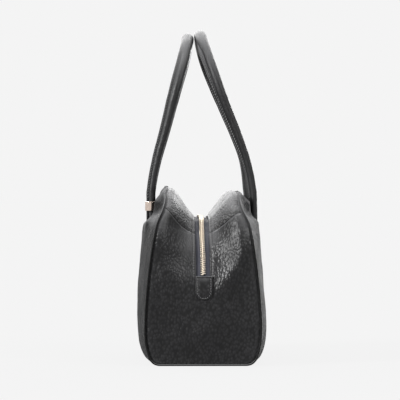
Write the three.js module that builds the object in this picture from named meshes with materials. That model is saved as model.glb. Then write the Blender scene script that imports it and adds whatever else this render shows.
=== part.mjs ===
// A boston bag: a soft leather body, sagging along its zip, with two rolled handles.
// Millimetres. X runs along the bag, the front faces -Y, +Z is up, and Z = 0 is where it stands.
import * as THREE from 'three';

// Driving sizes of the body
const BAG_LENGTH = 300;
const BELLY_DEPTH = 148;
const END_DEPTH = 129.4;
const PEAK_HEIGHT = 197;
const CORNER_RADIUS = 70;
const LEATHER = 2;
const GAP = 0.35;
const SEAM_GAP = 0.45;
const SEAM_RISE = 3;
const FLAT_SHARE = 0.55;
const BELLY_POWER = 2.5;

// Driving sizes of the sag between the two top edges; drops are measured down from the peak
const VALLEY_SAG = 29.5;
const SAG_HEAD_DROP = 12;
const SAG_FOOT_DROP = 122;
const END_BULGE = 3;
const STRIP_SEAM_DROP = 25;
const STRIP_SEAM_SLANT = 9;

// Driving sizes of the zip
const ZIP_OPENING = 15;
const ZIP_END_DROP = 99;
const TAPE_WIDTH = 24;
const TAPE_THICKNESS = 0.9;
const TAPE_TAIL = 6;
const CHAIN_WIDTH = 5.6;
const CHAIN_HEIGHT = 2.4;
const CHAIN_END_SPACE = 2.5;
const SLIDER_WIDTH = 10;
const SLIDER_LENGTH = 12;
const SLIDER_HEIGHT = 3.6;
const SLIDER_END_SPACE = 1;
const PULL_LENGTH = 24;
const PULL_WIDTH = 7;
const PULL_THICKNESS = 1.6;
const TAB_WIDTH = 20;
const TAB_LENGTH = 26;
const TAB_THICKNESS = 1.8;
const TAB_OVERLAP = 1;

// Driving sizes of the piping, the handles and the metal rings
const PIPING_RADIUS = 1.25;
const TOP_PIPING_SHARE = 0.99;
const HANDLE_SPREAD = 150;
const FRONT_HANDLE_RISE = 172.4;
const BACK_HANDLE_RISE = 176.6;
const HANDLE_FOOT_RADIUS = 5.15;
const HANDLE_TOP_RADIUS = 7.3;
const HANDLE_TAPER_START = 15;
const HANDLE_TAPER_LENGTH = 120;
const HANDLE_SEAT_GAP = 1.3;
const RING_HEIGHT = 10.5;
const RING_RISE = 13.9;
const RING_WALL = 0.9;

// How finely the soft surfaces are cut up
const ROWS_PER_STEP = 2;
const CORNER_ROWS = [0.08, 0.22];
const COLUMNS_ALONG = 7;
const COLUMNS_ACROSS = 5;
const HANDLE_SIDES = 10;
const RING_SIDES = 20;
const LEG_STEPS = 9;
const ARCH_STEPS = 14;
const PIPING_SIDES = 6;
const TAB_STEPS = 10;
const COLUMN_CROWDING = 0.75;
const LEAST_ROW_SPACE = 0.2;
const LEAST_TAB_HALF_WIDTH = 2;
const NORMAL_STEP = 0.2;
const SIDE_STEP = 0.5;
const SAME_PLACE = 1e-6;
const HALVINGS = 40;

// Turns rows of values into objects with named columns
function namedRows(columns, rows) {
  return rows.map((row) => Object.fromEntries(columns.map((name, k) => [name, row[k]])));
}

// Rows down one side of the body, from the top edge to the middle of the base.
// Heights are shares of PEAK_HEIGHT. endWidth is a share of half END_DEPTH, and the front and
// back widths are shares of half BELLY_DEPTH, at the middle of the bag's length.
const SIDE_ROWS = namedRows(
  [
    'name', 'frontEndHeight', 'backEndHeight', 'endWidth',
    'frontHeight', 'backHeight', 'frontWidth', 'backWidth',
  ],
  [
    ['top edge', 1.0, 0.976, 0.61, 1.014, 0.98, 0.54, 0.553],
    ['brow', 0.965, 0.954, 0.63, 0.985, 0.965, 0.624, 0.624],
    ['yoke', 0.92, 0.91, 0.66, 0.93, 0.925, 0.665, 0.665],
    ['crease', 0.865, 0.86, 0.71, 0.845, 0.845, 0.68, 0.68],
    ['ledge', 0.81, 0.81, 0.785, 0.805, 0.805, 0.865, 0.855],
    ['shoulder', 0.755, 0.755, 0.83, 0.755, 0.755, 0.918, 0.903],
    ['upper side', 0.61, 0.61, 0.9, 0.61, 0.61, 0.95, 0.925],
    ['side', 0.445, 0.445, 0.96, 0.445, 0.445, 0.985, 0.965],
    ['belly', 0.27, 0.27, 0.998, 0.27, 0.27, 1.0, 0.998],
    ['low side', 0.15, 0.15, 0.995, 0.135, 0.135, 0.978, 0.996],
    ['heel', 0.08, 0.08, 0.945, 0.058, 0.058, 0.93, 0.95],
    ['heel turn', 0.034, 0.034, 0.84, 0.015, 0.015, 0.83, 0.845],
    ['base edge', 0, 0, 0.69, 0, 0, 0.685, 0.685],
    ['base', 0, 0, 0.36, 0, 0, 0.36, 0.36],
    ['base middle', 0, 0, 0, 0, 0, 0, 0],
  ],
);

// How the gusset rises from the zip opening (share 0) to the seam (share 1), as shares of the
// sag: the front side is nearly straight, the back side rolls over before it meets its seam
const RISE_ROWS = namedRows(
  ['share', 'frontRise', 'backRise'],
  [
    [0.0, 0.0, 0.0],
    [0.2, 0.18, 0.24],
    [0.4, 0.4, 0.56],
    [0.6, 0.65, 0.86],
    [0.8, 0.88, 1.04],
    [1.0, 1.0, 1.0],
  ],
);

function rowNamed(name) {
  return SIDE_ROWS.findIndex((row) => row.name === name);
}

const BASE_EDGE_ROW = rowNamed('base edge');

// How each handle leans in as it rises: height is a share of the rise from the ledge to the
// top of its middle line, and the leans are shares of half BELLY_DEPTH from the middle plane.
const HANDLE_ROWS = namedRows(
  ['height', 'frontLean', 'backLean'],
  [
    [0.0, 0.785, 0.78],
    [0.1, 0.785, 0.775],
    [0.16, 0.777, 0.761],
    [0.32, 0.696, 0.676],
    [0.48, 0.574, 0.512],
    [0.64, 0.461, 0.312],
    [0.76, 0.37, 0.18],
    [0.88, 0.278, 0.058],
    [1.0, 0.21, -0.014],
  ],
);

// Outline of the slider's body: rise is a share of SLIDER_LENGTH, width of SLIDER_WIDTH
const SLIDER_BODY_ROWS = namedRows(
  ['rise', 'width'],
  [
    [1.0, 0.7],
    [0.75, 1.0],
    [0.02, 0.8],
  ],
);

// Outline of its pull: drop is a share of PULL_LENGTH, width of PULL_WIDTH
const PULL_ROWS = namedRows(
  ['drop', 'width'],
  [
    [0.0, 1.0],
    [0.5, 1.0],
    [1.0, 0.8],
  ],
);

const LEATHER_BLACK = { color: 0x2b2c2e, roughness: 0.55, metalness: 0.0 };
const TAPE_BLACK = { color: 0x23252b, roughness: 0.9, metalness: 0.0 };
const ZIP_GOLD = { color: 0xd9c79c, roughness: 0.3, metalness: 1.0 };
const RING_GOLD = { color: 0xe0c4a8, roughness: 0.2, metalness: 1.0 };

const bag = new THREE.Group();

function addPiece(name, geometry, look) {
  const piece = new THREE.Mesh(geometry, new THREE.MeshStandardMaterial(look));
  piece.name = name;
  bag.add(piece);
}

function mix(a, b, share) {
  return a + (b - a) * share;
}

function clamp(value, low, high) {
  return Math.min(Math.max(value, low), high);
}

function smoothStep(low, high, value) {
  const share = clamp((value - low) / (high - low), 0, 1);
  return share * share * (3 - 2 * share);
}

// side is -1 for the front and +1 for the back
function sideKey(side, what) {
  return (side < 0 ? 'front' : 'back') + what;
}

// Smooth value of one column at a fractional row (Catmull-Rom)
function column(rows, key, row) {
  const last = rows.length - 1;
  const index = clamp(Math.floor(row), 0, last - 1);
  const share = row - index;
  const p0 = rows[Math.max(index - 1, 0)][key];
  const p1 = rows[index][key];
  const p2 = rows[index + 1][key];
  const p3 = rows[Math.min(index + 2, last)][key];
  const slope1 = (p2 - p0) / 2;
  const slope2 = (p3 - p1) / 2;
  const share2 = share * share;
  const share3 = share2 * share;
  return (2 * share3 - 3 * share2 + 1) * p1 + (share3 - 2 * share2 + share) * slope1
    + (3 * share2 - 2 * share3) * p2 + (share3 - share2) * slope2;
}

const CORNER_CENTRE = PEAK_HEIGHT - CORNER_RADIUS;
const SAG_HEAD_HEIGHT = PEAK_HEIGHT - SAG_HEAD_DROP;
const SAG_FOOT_HEIGHT = PEAK_HEIGHT - SAG_FOOT_DROP;
const STRIP_SEAM_HEIGHT = PEAK_HEIGHT - STRIP_SEAM_DROP;
const ZIP_END_HEIGHT = PEAK_HEIGHT - ZIP_END_DROP;

function endHeight(side, row) {
  return Math.max(column(SIDE_ROWS, sideKey(side, 'EndHeight'), row) * PEAK_HEIGHT, SEAM_RISE);
}

// Height above the start of the round corner, which follows the front seam
function cornerRise(row) {
  return clamp(endHeight(-1, row) - CORNER_CENTRE, 0, CORNER_RADIUS);
}

// Half length of the side at a row: the top corners are round
function halfLength(row) {
  return BAG_LENGTH / 2 - CORNER_RADIUS + Math.sqrt(CORNER_RADIUS ** 2 - cornerRise(row) ** 2);
}

// Outer face of the leather body at a row and a share of the length (-1 to 1)
function bodyPoint(side, row, share) {
  const away = Math.abs(share);
  const widthBlend = away ** BELLY_POWER;
  const heightBlend = smoothStep(FLAT_SHARE, 1, away);
  const midWidth = column(SIDE_ROWS, sideKey(side, 'Width'), row) * BELLY_DEPTH / 2;
  const endWidth = column(SIDE_ROWS, 'endWidth', row) * END_DEPTH / 2;
  const midHeight = Math.max(column(SIDE_ROWS, sideKey(side, 'Height'), row), 0) * PEAK_HEIGHT;
  const width = mix(midWidth, endWidth, widthBlend);
  const height = mix(midHeight, endHeight(side, row), heightBlend);
  return new THREE.Vector3(share * halfLength(row), side * width, height);
}

// The same face at a row and a place along X
function bodyAtLength(side, row, x) {
  return bodyPoint(side, row, clamp(x / halfLength(row), -1, 1));
}

// Outward normal of the leather body, from a small step down its side and one along it
function bodyNormal(side, row, share) {
  const last = SIDE_ROWS.length - 1;
  const upper = Math.min(row, last - NORMAL_STEP);
  const x = share * halfLength(row);
  const down = bodyAtLength(side, upper + NORMAL_STEP, x).sub(bodyAtLength(side, upper, x));
  const shareLow = Math.max(share - NORMAL_STEP / 2, -1);
  const shareHigh = Math.min(share + NORMAL_STEP / 2, 1);
  const along = bodyPoint(side, row, shareHigh).sub(bodyPoint(side, row, shareLow));
  return down.cross(along).multiplyScalar(-side).normalize();
}

// A closed sheet: two skins over the cells of a grid that are kept, and walls round their edge
function sheet(outer, inner, keep) {
  const rows = outer.length;
  const columns = outer[0].length;
  const positions = [];
  for (const grid of [outer, inner]) {
    for (const line of grid) {
      for (const point of line) positions.push(point.x, point.y, point.z);
    }
  }
  const kept = (i, j) => i >= 0 && j >= 0 && i < rows - 1 && j < columns - 1 && (!keep || keep(i, j));
  const top = (i, j) => i * columns + j;
  const under = (i, j) => rows * columns + i * columns + j;
  const triangles = [];
  const wall = (i0, j0, i1, j1) => {
    triangles.push(top(i0, j0), under(i0, j0), under(i1, j1));
    triangles.push(top(i0, j0), under(i1, j1), top(i1, j1));
  };
  for (let i = 0; i < rows - 1; i += 1) {
    for (let j = 0; j < columns - 1; j += 1) {
      if (!kept(i, j)) continue;
      triangles.push(top(i, j), top(i + 1, j), top(i + 1, j + 1));
      triangles.push(top(i, j), top(i + 1, j + 1), top(i, j + 1));
      triangles.push(under(i, j), under(i + 1, j + 1), under(i + 1, j));
      triangles.push(under(i, j), under(i, j + 1), under(i + 1, j + 1));
      if (!kept(i - 1, j)) wall(i, j + 1, i, j);
      if (!kept(i + 1, j)) wall(i + 1, j, i + 1, j + 1);
      if (!kept(i, j - 1)) wall(i, j, i + 1, j);
      if (!kept(i, j + 1)) wall(i + 1, j + 1, i, j + 1);
    }
  }
  return closedGeometry(positions, triangles);
}

// Keeps only the vertices in use and turns the faces outward
function closedGeometry(positions, triangles) {
  const places = new Map();
  const used = [];
  const order = triangles.map((index) => {
    if (!places.has(index)) {
      places.set(index, used.length / 3);
      used.push(...positions.slice(3 * index, 3 * index + 3));
    }
    return places.get(index);
  });
  const corner = (index) => new THREE.Vector3().fromArray(used, 3 * index);
  let volume = 0;
  for (let k = 0; k < order.length; k += 3) {
    volume += corner(order[k]).dot(corner(order[k + 1]).cross(corner(order[k + 2])));
  }
  if (volume < 0) {
    for (let k = 0; k < order.length; k += 3) [order[k + 1], order[k + 2]] = [order[k + 2], order[k + 1]];
  }
  const geometry = new THREE.BufferGeometry();
  geometry.setAttribute('position', new THREE.Float32BufferAttribute(used, 3));
  geometry.setIndex(order);
  geometry.computeVertexNormals();
  return geometry;
}

// Rings of points joined into a closed tube with flat ends, or into a loop
function tube(rings, loop = false) {
  const sides = rings[0].length;
  const positions = rings.flat().flatMap((point) => [point.x, point.y, point.z]);
  const triangles = [];
  const steps = loop ? rings.length : rings.length - 1;
  for (let i = 0; i < steps; i += 1) {
    for (let j = 0; j < sides; j += 1) {
      const a = i * sides + j;
      const b = i * sides + (j + 1) % sides;
      const c = ((i + 1) % rings.length) * sides + j;
      const d = ((i + 1) % rings.length) * sides + (j + 1) % sides;
      triangles.push(a, b, d, a, d, c);
    }
  }
  if (!loop) {
    const end = (rings.length - 1) * sides;
    for (let j = 1; j < sides - 1; j += 1) {
      triangles.push(0, j + 1, j, end, end + j, end + j + 1);
    }
  }
  return closedGeometry(positions, triangles);
}

// Row values used by the body, the seams and the piping alike
const ALL_ROWS = [0, ...CORNER_ROWS];
for (let k = 1; k <= (SIDE_ROWS.length - 1) * ROWS_PER_STEP; k += 1) ALL_ROWS.push(k / ROWS_PER_STEP);
const END_ROWS = ALL_ROWS.filter((row) => row <= BASE_EDGE_ROW);
const SHARES = [];
for (let k = -COLUMNS_ALONG; k <= COLUMNS_ALONG; k += 1) {
  SHARES.push(Math.sign(k) * Math.abs(k / COLUMNS_ALONG) ** COLUMN_CROWDING);
}

function makeBody() {
  const outer = [];
  const inner = [];
  const addLine = (side, row) => {
    const line = SHARES.map((share) => bodyPoint(side, row, share));
    const normals = SHARES.map((share) => bodyNormal(side, row, share));
    outer.push(line);
    inner.push(line.map((point, k) => point.clone().addScaledVector(normals[k], -LEATHER)));
  };
  for (const row of ALL_ROWS) addLine(-1, row);
  for (const row of [...ALL_ROWS].reverse().slice(1)) addLine(1, row);
  return sheet(outer, inner);
}

const bodyGeometry = makeBody();
const bodyMesh = new THREE.Mesh(bodyGeometry);

// The gusset closes the body from seam to seam: up one end, over the top and down the other.
// A station is one place along it: a share of the length on top, or a row of the end seam.
function topStation(share) {
  return { share, row: 0, turn: Math.PI / 2, end: Math.sign(share) || 1 };
}

function endStation(end, row) {
  return { share: end, row, turn: Math.asin(cornerRise(row) / CORNER_RADIUS), end };
}

function gussetOutward(station) {
  return new THREE.Vector3(station.end * Math.cos(station.turn), 0, Math.sin(station.turn));
}

// Edge of the gusset: inside the body's leather, a gap away from it
function gussetEdge(station, side) {
  const seam = bodyPoint(side, station.row, station.share);
  return seam.addScaledVector(bodyNormal(side, station.row, station.share), -(LEATHER + SEAM_GAP));
}

function sagDepth(station) {
  const height = bodyPoint(-1, station.row, station.share).z;
  const sag = VALLEY_SAG * smoothStep(SAG_FOOT_HEIGHT, SAG_HEAD_HEIGHT, height);
  const low = clamp(height / SAG_FOOT_HEIGHT, 0, 1);
  return sag - END_BULGE * Math.sin(Math.PI * low);
}

// How far the gusset hangs in at a distance from the middle, as a share of the sag
function sagShape(y, reach) {
  const beyond = clamp((Math.abs(y) - ZIP_OPENING / 2) / (reach - ZIP_OPENING / 2), 0, 1);
  return 1 - column(RISE_ROWS, y < 0 ? 'frontRise' : 'backRise', beyond * (RISE_ROWS.length - 1));
}

// Outer face of the gusset at a station and a distance from the middle
function gussetPoint(station, y) {
  const front = gussetEdge(station, -1);
  const back = gussetEdge(station, 1);
  const edge = y < 0 ? front : back;
  const share = clamp((y - front.y) / (back.y - front.y), 0, 1);
  const base = new THREE.Vector3().lerpVectors(front, back, share);
  base.y = y;
  const inward = sagDepth(station) * sagShape(y, Math.abs(edge.y));
  return base.addScaledVector(gussetOutward(station), -inward);
}

// A place on the gusset: a station, and a share of the way from the zip opening out to the seam
function sidePlace(station, side, share) {
  return { station, y: side * mix(ZIP_OPENING / 2, Math.abs(gussetEdge(station, side).y), share) };
}

// Outward normal of the gusset at a place, from the places before and after it along the gusset
function gussetNormal(before, place, after) {
  const start = gussetPoint(before.station, before.y);
  const along = gussetPoint(after.station, after.y).sub(start);
  const left = gussetPoint(place.station, place.y - SIDE_STEP);
  const right = gussetPoint(place.station, place.y + SIDE_STEP);
  const normal = along.cross(right.sub(left)).normalize();
  return normal.dot(gussetOutward(place.station)) < 0 ? normal.negate() : normal;
}

// At a seam the sheet's edge is cut straight, across the bag's end or down from its top, so that
// it stays clear of the body's leather
function alongSeam({ station, y }, normal) {
  const side = Math.sign(y);
  const isSeam = side !== 0 && Math.abs(y - gussetEdge(station, side).y) < SAME_PLACE;
  return isSeam ? gussetOutward(station) : normal;
}

// A sheet over lines of places, each line across the gusset
function gussetSheet(lines, thickness, lift, keep) {
  const outer = [];
  const inner = [];
  lines.forEach((line, index) => {
    const before = lines[Math.max(index - 1, 0)];
    const after = lines[Math.min(index + 1, lines.length - 1)];
    const points = line.map(({ station, y }) => gussetPoint(station, y));
    const normals = line.map((place, k) => alongSeam(place, gussetNormal(before[k], place, after[k])));
    outer.push(points.map((point, k) => point.clone().addScaledVector(normals[k], lift)));
    inner.push(points.map((point, k) => point.clone().addScaledVector(normals[k], lift - thickness)));
  });
  return sheet(outer, inner, keep);
}

// Row of the end seam at a height, by halving
function rowAtHeight(height) {
  let low = 0;
  let high = BASE_EDGE_ROW;
  for (let k = 0; k < HALVINGS; k += 1) {
    const middle = (low + high) / 2;
    if (endHeight(-1, middle) > height) low = middle;
    else high = middle;
  }
  return (low + high) / 2;
}

const ZIP_END_ROW = rowAtHeight(ZIP_END_HEIGHT);
const ACROSS_SHARES = [];
for (let k = 0; k <= COLUMNS_ACROSS; k += 1) ACROSS_SHARES.push(k / COLUMNS_ACROSS);

// The strips meet the end panels in a seam that falls from the body's seam (share 1) to the zip
// opening (share 0): its row at a share, and a gap below it
function stripSeamRow(share, gap) {
  return rowAtHeight(STRIP_SEAM_HEIGHT - STRIP_SEAM_SLANT * (1 - share) - gap);
}

// Stretches a row away from a fixed one, so that the row `edge` falls on `place`
function stretched(row, fixed, edge, place) {
  return fixed + (row - fixed) * (place - fixed) / (edge - fixed);
}

// Rows of a strip down an end at a share across, from below the top as far as the slanted seam
function stripRows(share) {
  const last = stripSeamRow(1, 0);
  const rows = END_ROWS.filter((row) => row > 0 && row < last - LEAST_ROW_SPACE);
  return [...rows, last].map((row) => stretched(row, 0, last, stripSeamRow(share, 0)));
}

// Rows of an end panel at a share across, from the slanted seam down
function panelRows(share) {
  const first = stripSeamRow(1, SEAM_GAP);
  const isClear = (row) => row > first + LEAST_ROW_SPACE && Math.abs(row - ZIP_END_ROW) > LEAST_ROW_SPACE;
  const rows = [first, ...END_ROWS.filter(isClear), ZIP_END_ROW].sort((one, other) => one - other);
  const place = stripSeamRow(share, SEAM_GAP);
  return rows.map((row) => (row < ZIP_END_ROW ? stretched(row, ZIP_END_ROW, first, place) : row));
}

function makeEndPanel(end) {
  const columns = ACROSS_SHARES.map(panelRows);
  const lines = columns[0].map((_, index) => {
    const half = (side) => ACROSS_SHARES.map(
      (share, k) => sidePlace(endStation(end, columns[k][index]), side, share),
    );
    return [...half(-1).reverse(), ...half(1)];
  });
  const isZipOpening = (i, j) => j === COLUMNS_ACROSS && columns[0][i] < ZIP_END_ROW;
  return gussetSheet(lines, LEATHER, 0, (i, j) => !isZipOpening(i, j));
}

const TOP_STATIONS = SHARES.map(topStation);

// Stations down the left end, over the top and down the right end
function overTheTop(rows) {
  return [
    ...[...rows].reverse().map((row) => endStation(-1, row)),
    ...TOP_STATIONS,
    ...rows.map((row) => endStation(1, row)),
  ];
}

// The zip's stations follow the leather beside its opening, as far as a height on the end
function zipStationsDownTo(height) {
  const last = rowAtHeight(height);
  const rows = [...stripRows(0), ...panelRows(0).slice(1)];
  return overTheTop([...rows.filter((row) => row < last - LEAST_ROW_SPACE), last]);
}

function makeTopStrip(side) {
  const columns = ACROSS_SHARES.map((share) => overTheTop(stripRows(share)));
  const lines = columns[0].map((_, index) => ACROSS_SHARES.map(
    (share, k) => sidePlace(columns[k][index], side, share),
  ));
  return gussetSheet(lines, LEATHER, 0);
}

// The zip lies flat across: each section has a station, a width and the heights of its two faces
// over the gusset's middle
function flatZipSheet(sections) {
  const places = sections.map(({ station }) => ({ station, y: 0 }));
  const outer = [];
  const inner = [];
  sections.forEach(({ station, width, low, high }, index) => {
    const before = places[Math.max(index - 1, 0)];
    const after = places[Math.min(index + 1, places.length - 1)];
    const middle = gussetPoint(station, 0);
    const normal = gussetNormal(before, places[index], after);
    const lip = gussetPoint(station, -ZIP_OPENING / 2);
    const across = gussetPoint(station, ZIP_OPENING / 2).sub(lip).normalize();
    const line = (height) => [-width / 2, 0, width / 2].map(
      (y) => middle.clone().addScaledVector(normal, height).addScaledVector(across, y),
    );
    outer.push(line(high));
    inner.push(line(low));
  });
  return sheet(outer, inner);
}

function evenZipSheet(stations, width, thickness, high) {
  return flatZipSheet(stations.map((station) => ({ station, width, low: high - thickness, high })));
}

const TAPE_LIFT = -(LEATHER + GAP);
const CHAIN_LIFT = TAPE_LIFT + GAP + CHAIN_HEIGHT;
const TAPE_STATIONS = zipStationsDownTo(ZIP_END_HEIGHT - TAPE_TAIL);
const CHAIN_STATIONS = zipStationsDownTo(ZIP_END_HEIGHT + CHAIN_END_SPACE);

function makeTab(end) {
  const top = ZIP_END_HEIGHT + TAB_OVERLAP;
  const lines = [];
  for (let k = 0; k <= TAB_STEPS; k += 1) {
    const along = TAB_LENGTH * k / TAB_STEPS;
    const round = Math.max(along - (TAB_LENGTH - TAB_WIDTH / 2), 0);
    const half = Math.max(Math.sqrt((TAB_WIDTH / 2) ** 2 - round ** 2), LEAST_TAB_HALF_WIDTH);
    const station = endStation(end, rowAtHeight(top - along));
    lines.push([-1, -0.5, 0, 0.5, 1].map((share) => ({ station, y: share * half })));
  }
  return gussetSheet(lines, TAB_THICKNESS, GAP + TAB_THICKNESS);
}

// A bead of piping lies on the corner where the body meets the gusset
function pipingRing(station, before, after, side) {
  const centreOf = (place) => {
    const seam = bodyPoint(side, place.row, place.share);
    const out = bodyNormal(side, place.row, place.share).add(gussetOutward(place)).normalize();
    return { centre: seam.addScaledVector(out, PIPING_RADIUS + GAP), out };
  };
  const { centre, out } = centreOf(station);
  const along = centreOf(after).centre.sub(centreOf(before).centre).normalize();
  const across = new THREE.Vector3().crossVectors(along, out).normalize();
  const up = new THREE.Vector3().crossVectors(across, along).normalize();
  const ring = [];
  for (let k = 0; k < PIPING_SIDES; k += 1) {
    const angle = 2 * Math.PI * k / PIPING_SIDES;
    const point = centre.clone().addScaledVector(across, PIPING_RADIUS * Math.cos(angle));
    ring.push(point.addScaledVector(up, PIPING_RADIUS * Math.sin(angle)));
  }
  return ring;
}

function pipingAlong(places) {
  const rings = places.map((place, index) => {
    const before = places[Math.max(index - 1, 0)];
    const after = places[Math.min(index + 1, places.length - 1)];
    return pipingRing(place.station, before.station, after.station, place.side);
  });
  return tube(rings);
}

// Along a top edge, as far as the round corners
function makeTopPiping(side) {
  const places = TOP_STATIONS.map(({ share }) => ({ station: topStation(share * TOP_PIPING_SHARE), side }));
  return pipingAlong(places);
}

// Down one corner of an end, under it and up the other
function makeEndPiping(end) {
  const down = END_ROWS.slice(1).map((row) => ({ station: endStation(end, row), side: -1 }));
  const up = [...down].reverse().map((place) => ({ station: place.station, side: 1 }));
  return pipingAlong([...down, ...up]);
}

// Height of the body's outer face straight below a place over the ledge
function ledgeHeight(x, y) {
  const above = new THREE.Vector3(x, y, 2 * PEAK_HEIGHT);
  const ray = new THREE.Raycaster(above, new THREE.Vector3(0, 0, -1));
  return ray.intersectObject(bodyMesh)[0].point.z;
}

function handleRadius(height) {
  const start = PEAK_HEIGHT + HANDLE_TAPER_START;
  const share = smoothStep(start, start + HANDLE_TAPER_LENGTH, height);
  return mix(HANDLE_FOOT_RADIUS, HANDLE_TOP_RADIUS, share);
}

// Distance of a handle's middle line from the bag's middle plane at a height
function handleLean(side, footHeight, topHeight, height) {
  const share = clamp((height - footHeight) / (topHeight - footHeight), 0, 1);
  let index = 0;
  while (index < HANDLE_ROWS.length - 2 && HANDLE_ROWS[index + 1].height < share) index += 1;
  const span = HANDLE_ROWS[index + 1].height - HANDLE_ROWS[index].height;
  const row = index + (share - HANDLE_ROWS[index].height) / span;
  return side * column(HANDLE_ROWS, sideKey(side, 'Lean'), row) * BELLY_DEPTH / 2;
}

// Where a handle's middle line starts, over the ledge
function handleFoot(side, end) {
  const x = end * HANDLE_SPREAD / 2;
  const y = side * HANDLE_ROWS[0][sideKey(side, 'Lean')] * BELLY_DEPTH / 2;
  return new THREE.Vector3(x, y, ledgeHeight(x, y) + HANDLE_SEAT_GAP);
}

function handlePath(side) {
  const topHeight = PEAK_HEIGHT + (side < 0 ? FRONT_HANDLE_RISE : BACK_HANDLE_RISE);
  const reach = HANDLE_SPREAD / 2;
  const archStart = topHeight - reach;
  const foot = handleFoot(side, 1).z;
  const outline = [];
  for (let k = 0; k < LEG_STEPS; k += 1) outline.push([-reach, mix(foot, archStart, k / LEG_STEPS)]);
  for (let k = 0; k <= ARCH_STEPS; k += 1) {
    const angle = Math.PI * (1 - k / ARCH_STEPS);
    outline.push([reach * Math.cos(angle), archStart + reach * Math.sin(angle)]);
  }
  for (let k = LEG_STEPS - 1; k >= 0; k -= 1) outline.push([reach, mix(foot, archStart, k / LEG_STEPS)]);
  return outline.map(([x, z]) => new THREE.Vector3(x, handleLean(side, foot, topHeight, z), z));
}

function makeHandle(side) {
  const path = handlePath(side);
  const rings = path.map((centre, index) => {
    const along = path[Math.min(index + 1, path.length - 1)].clone().sub(path[Math.max(index - 1, 0)]);
    along.normalize();
    const across = new THREE.Vector3().crossVectors(along, new THREE.Vector3(0, 1, 0)).normalize();
    const outward = new THREE.Vector3().crossVectors(across, along).normalize();
    const radius = handleRadius(centre.z);
    const ring = [];
    for (let k = 0; k < HANDLE_SIDES; k += 1) {
      const angle = 2 * Math.PI * k / HANDLE_SIDES;
      const point = centre.clone().addScaledVector(across, radius * Math.cos(angle));
      ring.push(point.addScaledVector(outward, radius * Math.sin(angle)));
    }
    const isFoot = index === 0 || index === path.length - 1;
    if (isFoot) {
      for (const point of ring) point.z = ledgeHeight(point.x, point.y) + HANDLE_SEAT_GAP;
    }
    return ring;
  });
  return tube(rings);
}

function makeRing() {
  const inner = HANDLE_FOOT_RADIUS + GAP;
  const outer = inner + RING_WALL;
  const half = RING_HEIGHT / 2;
  const profile = [
    new THREE.Vector2(inner, -half),
    new THREE.Vector2(outer, -half),
    new THREE.Vector2(outer, half),
    new THREE.Vector2(inner, half),
    new THREE.Vector2(inner, -half),
  ];
  return new THREE.LatheGeometry(profile, RING_SIDES).rotateX(Math.PI / 2);
}

// The slider sits on the closed chain at the left end, and its flat pull hangs down over the tab
function makeSlider() {
  const foot = ZIP_END_HEIGHT + CHAIN_END_SPACE + SLIDER_END_SPACE;
  const bodyLow = CHAIN_LIFT + GAP;
  const pullLow = GAP + TAB_THICKNESS + GAP;
  const bodySections = SLIDER_BODY_ROWS.map((row) => ({
    station: endStation(-1, rowAtHeight(foot + row.rise * SLIDER_LENGTH)),
    width: row.width * SLIDER_WIDTH,
    low: bodyLow,
    high: bodyLow + SLIDER_HEIGHT,
  }));
  const pullSections = PULL_ROWS.map((row) => ({
    station: endStation(-1, rowAtHeight(foot - row.drop * PULL_LENGTH)),
    width: row.width * PULL_WIDTH,
    low: pullLow,
    high: pullLow + PULL_THICKNESS,
  }));
  return flatZipSheet([...bodySections, ...pullSections]);
}

addPiece('body_wrap', bodyGeometry, LEATHER_BLACK);
addPiece('end_panel_right', makeEndPanel(1), LEATHER_BLACK);
addPiece('end_panel_left', makeEndPanel(-1), LEATHER_BLACK);
addPiece('top_strip_front', makeTopStrip(-1), LEATHER_BLACK);
addPiece('top_strip_back', makeTopStrip(1), LEATHER_BLACK);
addPiece('zip_tape', evenZipSheet(TAPE_STATIONS, TAPE_WIDTH, TAPE_THICKNESS, TAPE_LIFT), TAPE_BLACK);
addPiece('zip_chain', evenZipSheet(CHAIN_STATIONS, CHAIN_WIDTH, CHAIN_HEIGHT, CHAIN_LIFT), ZIP_GOLD);
addPiece('zip_slider', makeSlider(), ZIP_GOLD);

for (const [end, label] of [[1, 'right'], [-1, 'left']]) {
  addPiece(`zip_tab_${label}`, makeTab(end), LEATHER_BLACK);
  addPiece(`piping_end_${label}`, makeEndPiping(end), LEATHER_BLACK);
}

for (const [side, label] of [[-1, 'front'], [1, 'back']]) {
  addPiece(`piping_top_${label}`, makeTopPiping(side), LEATHER_BLACK);
  addPiece(`handle_${label}`, makeHandle(side), LEATHER_BLACK);
}

for (const [end, label] of [[1, 'right'], [-1, 'left']]) {
  const foot = handleFoot(-1, end);
  addPiece(`handle_ring_${label}`, makeRing().translate(foot.x, foot.y, foot.z + RING_RISE), RING_GOLD);
}

export default bag;
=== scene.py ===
"""Looks of a black leather boston bag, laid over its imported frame.

The tables and shape formulas are in millimetres, and put_piece() turns them into metres.
X runs along the bag, the front faces -Y and +Z is up. side is -1 for the front and +1 for the
back, end is -1 for the left end and +1 for the right end, which the camera sees.
"""

import math

import bmesh
import bpy
import numpy as np
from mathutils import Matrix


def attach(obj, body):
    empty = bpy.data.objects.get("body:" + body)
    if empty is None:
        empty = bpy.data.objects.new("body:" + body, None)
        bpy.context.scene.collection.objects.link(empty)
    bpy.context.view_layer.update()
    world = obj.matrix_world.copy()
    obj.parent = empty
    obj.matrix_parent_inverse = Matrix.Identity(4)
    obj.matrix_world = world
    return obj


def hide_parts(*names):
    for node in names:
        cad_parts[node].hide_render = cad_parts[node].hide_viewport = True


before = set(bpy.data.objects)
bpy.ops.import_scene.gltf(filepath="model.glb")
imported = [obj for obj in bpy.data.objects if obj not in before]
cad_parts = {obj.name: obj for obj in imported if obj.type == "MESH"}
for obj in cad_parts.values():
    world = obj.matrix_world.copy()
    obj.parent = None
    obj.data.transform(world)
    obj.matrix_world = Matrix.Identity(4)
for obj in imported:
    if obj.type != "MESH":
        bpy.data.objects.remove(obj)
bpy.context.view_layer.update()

MM = 0.001
SIDES = ((-1, "front"), (1, "back"))
ENDS = ((1, "right"), (-1, "left"))

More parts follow.
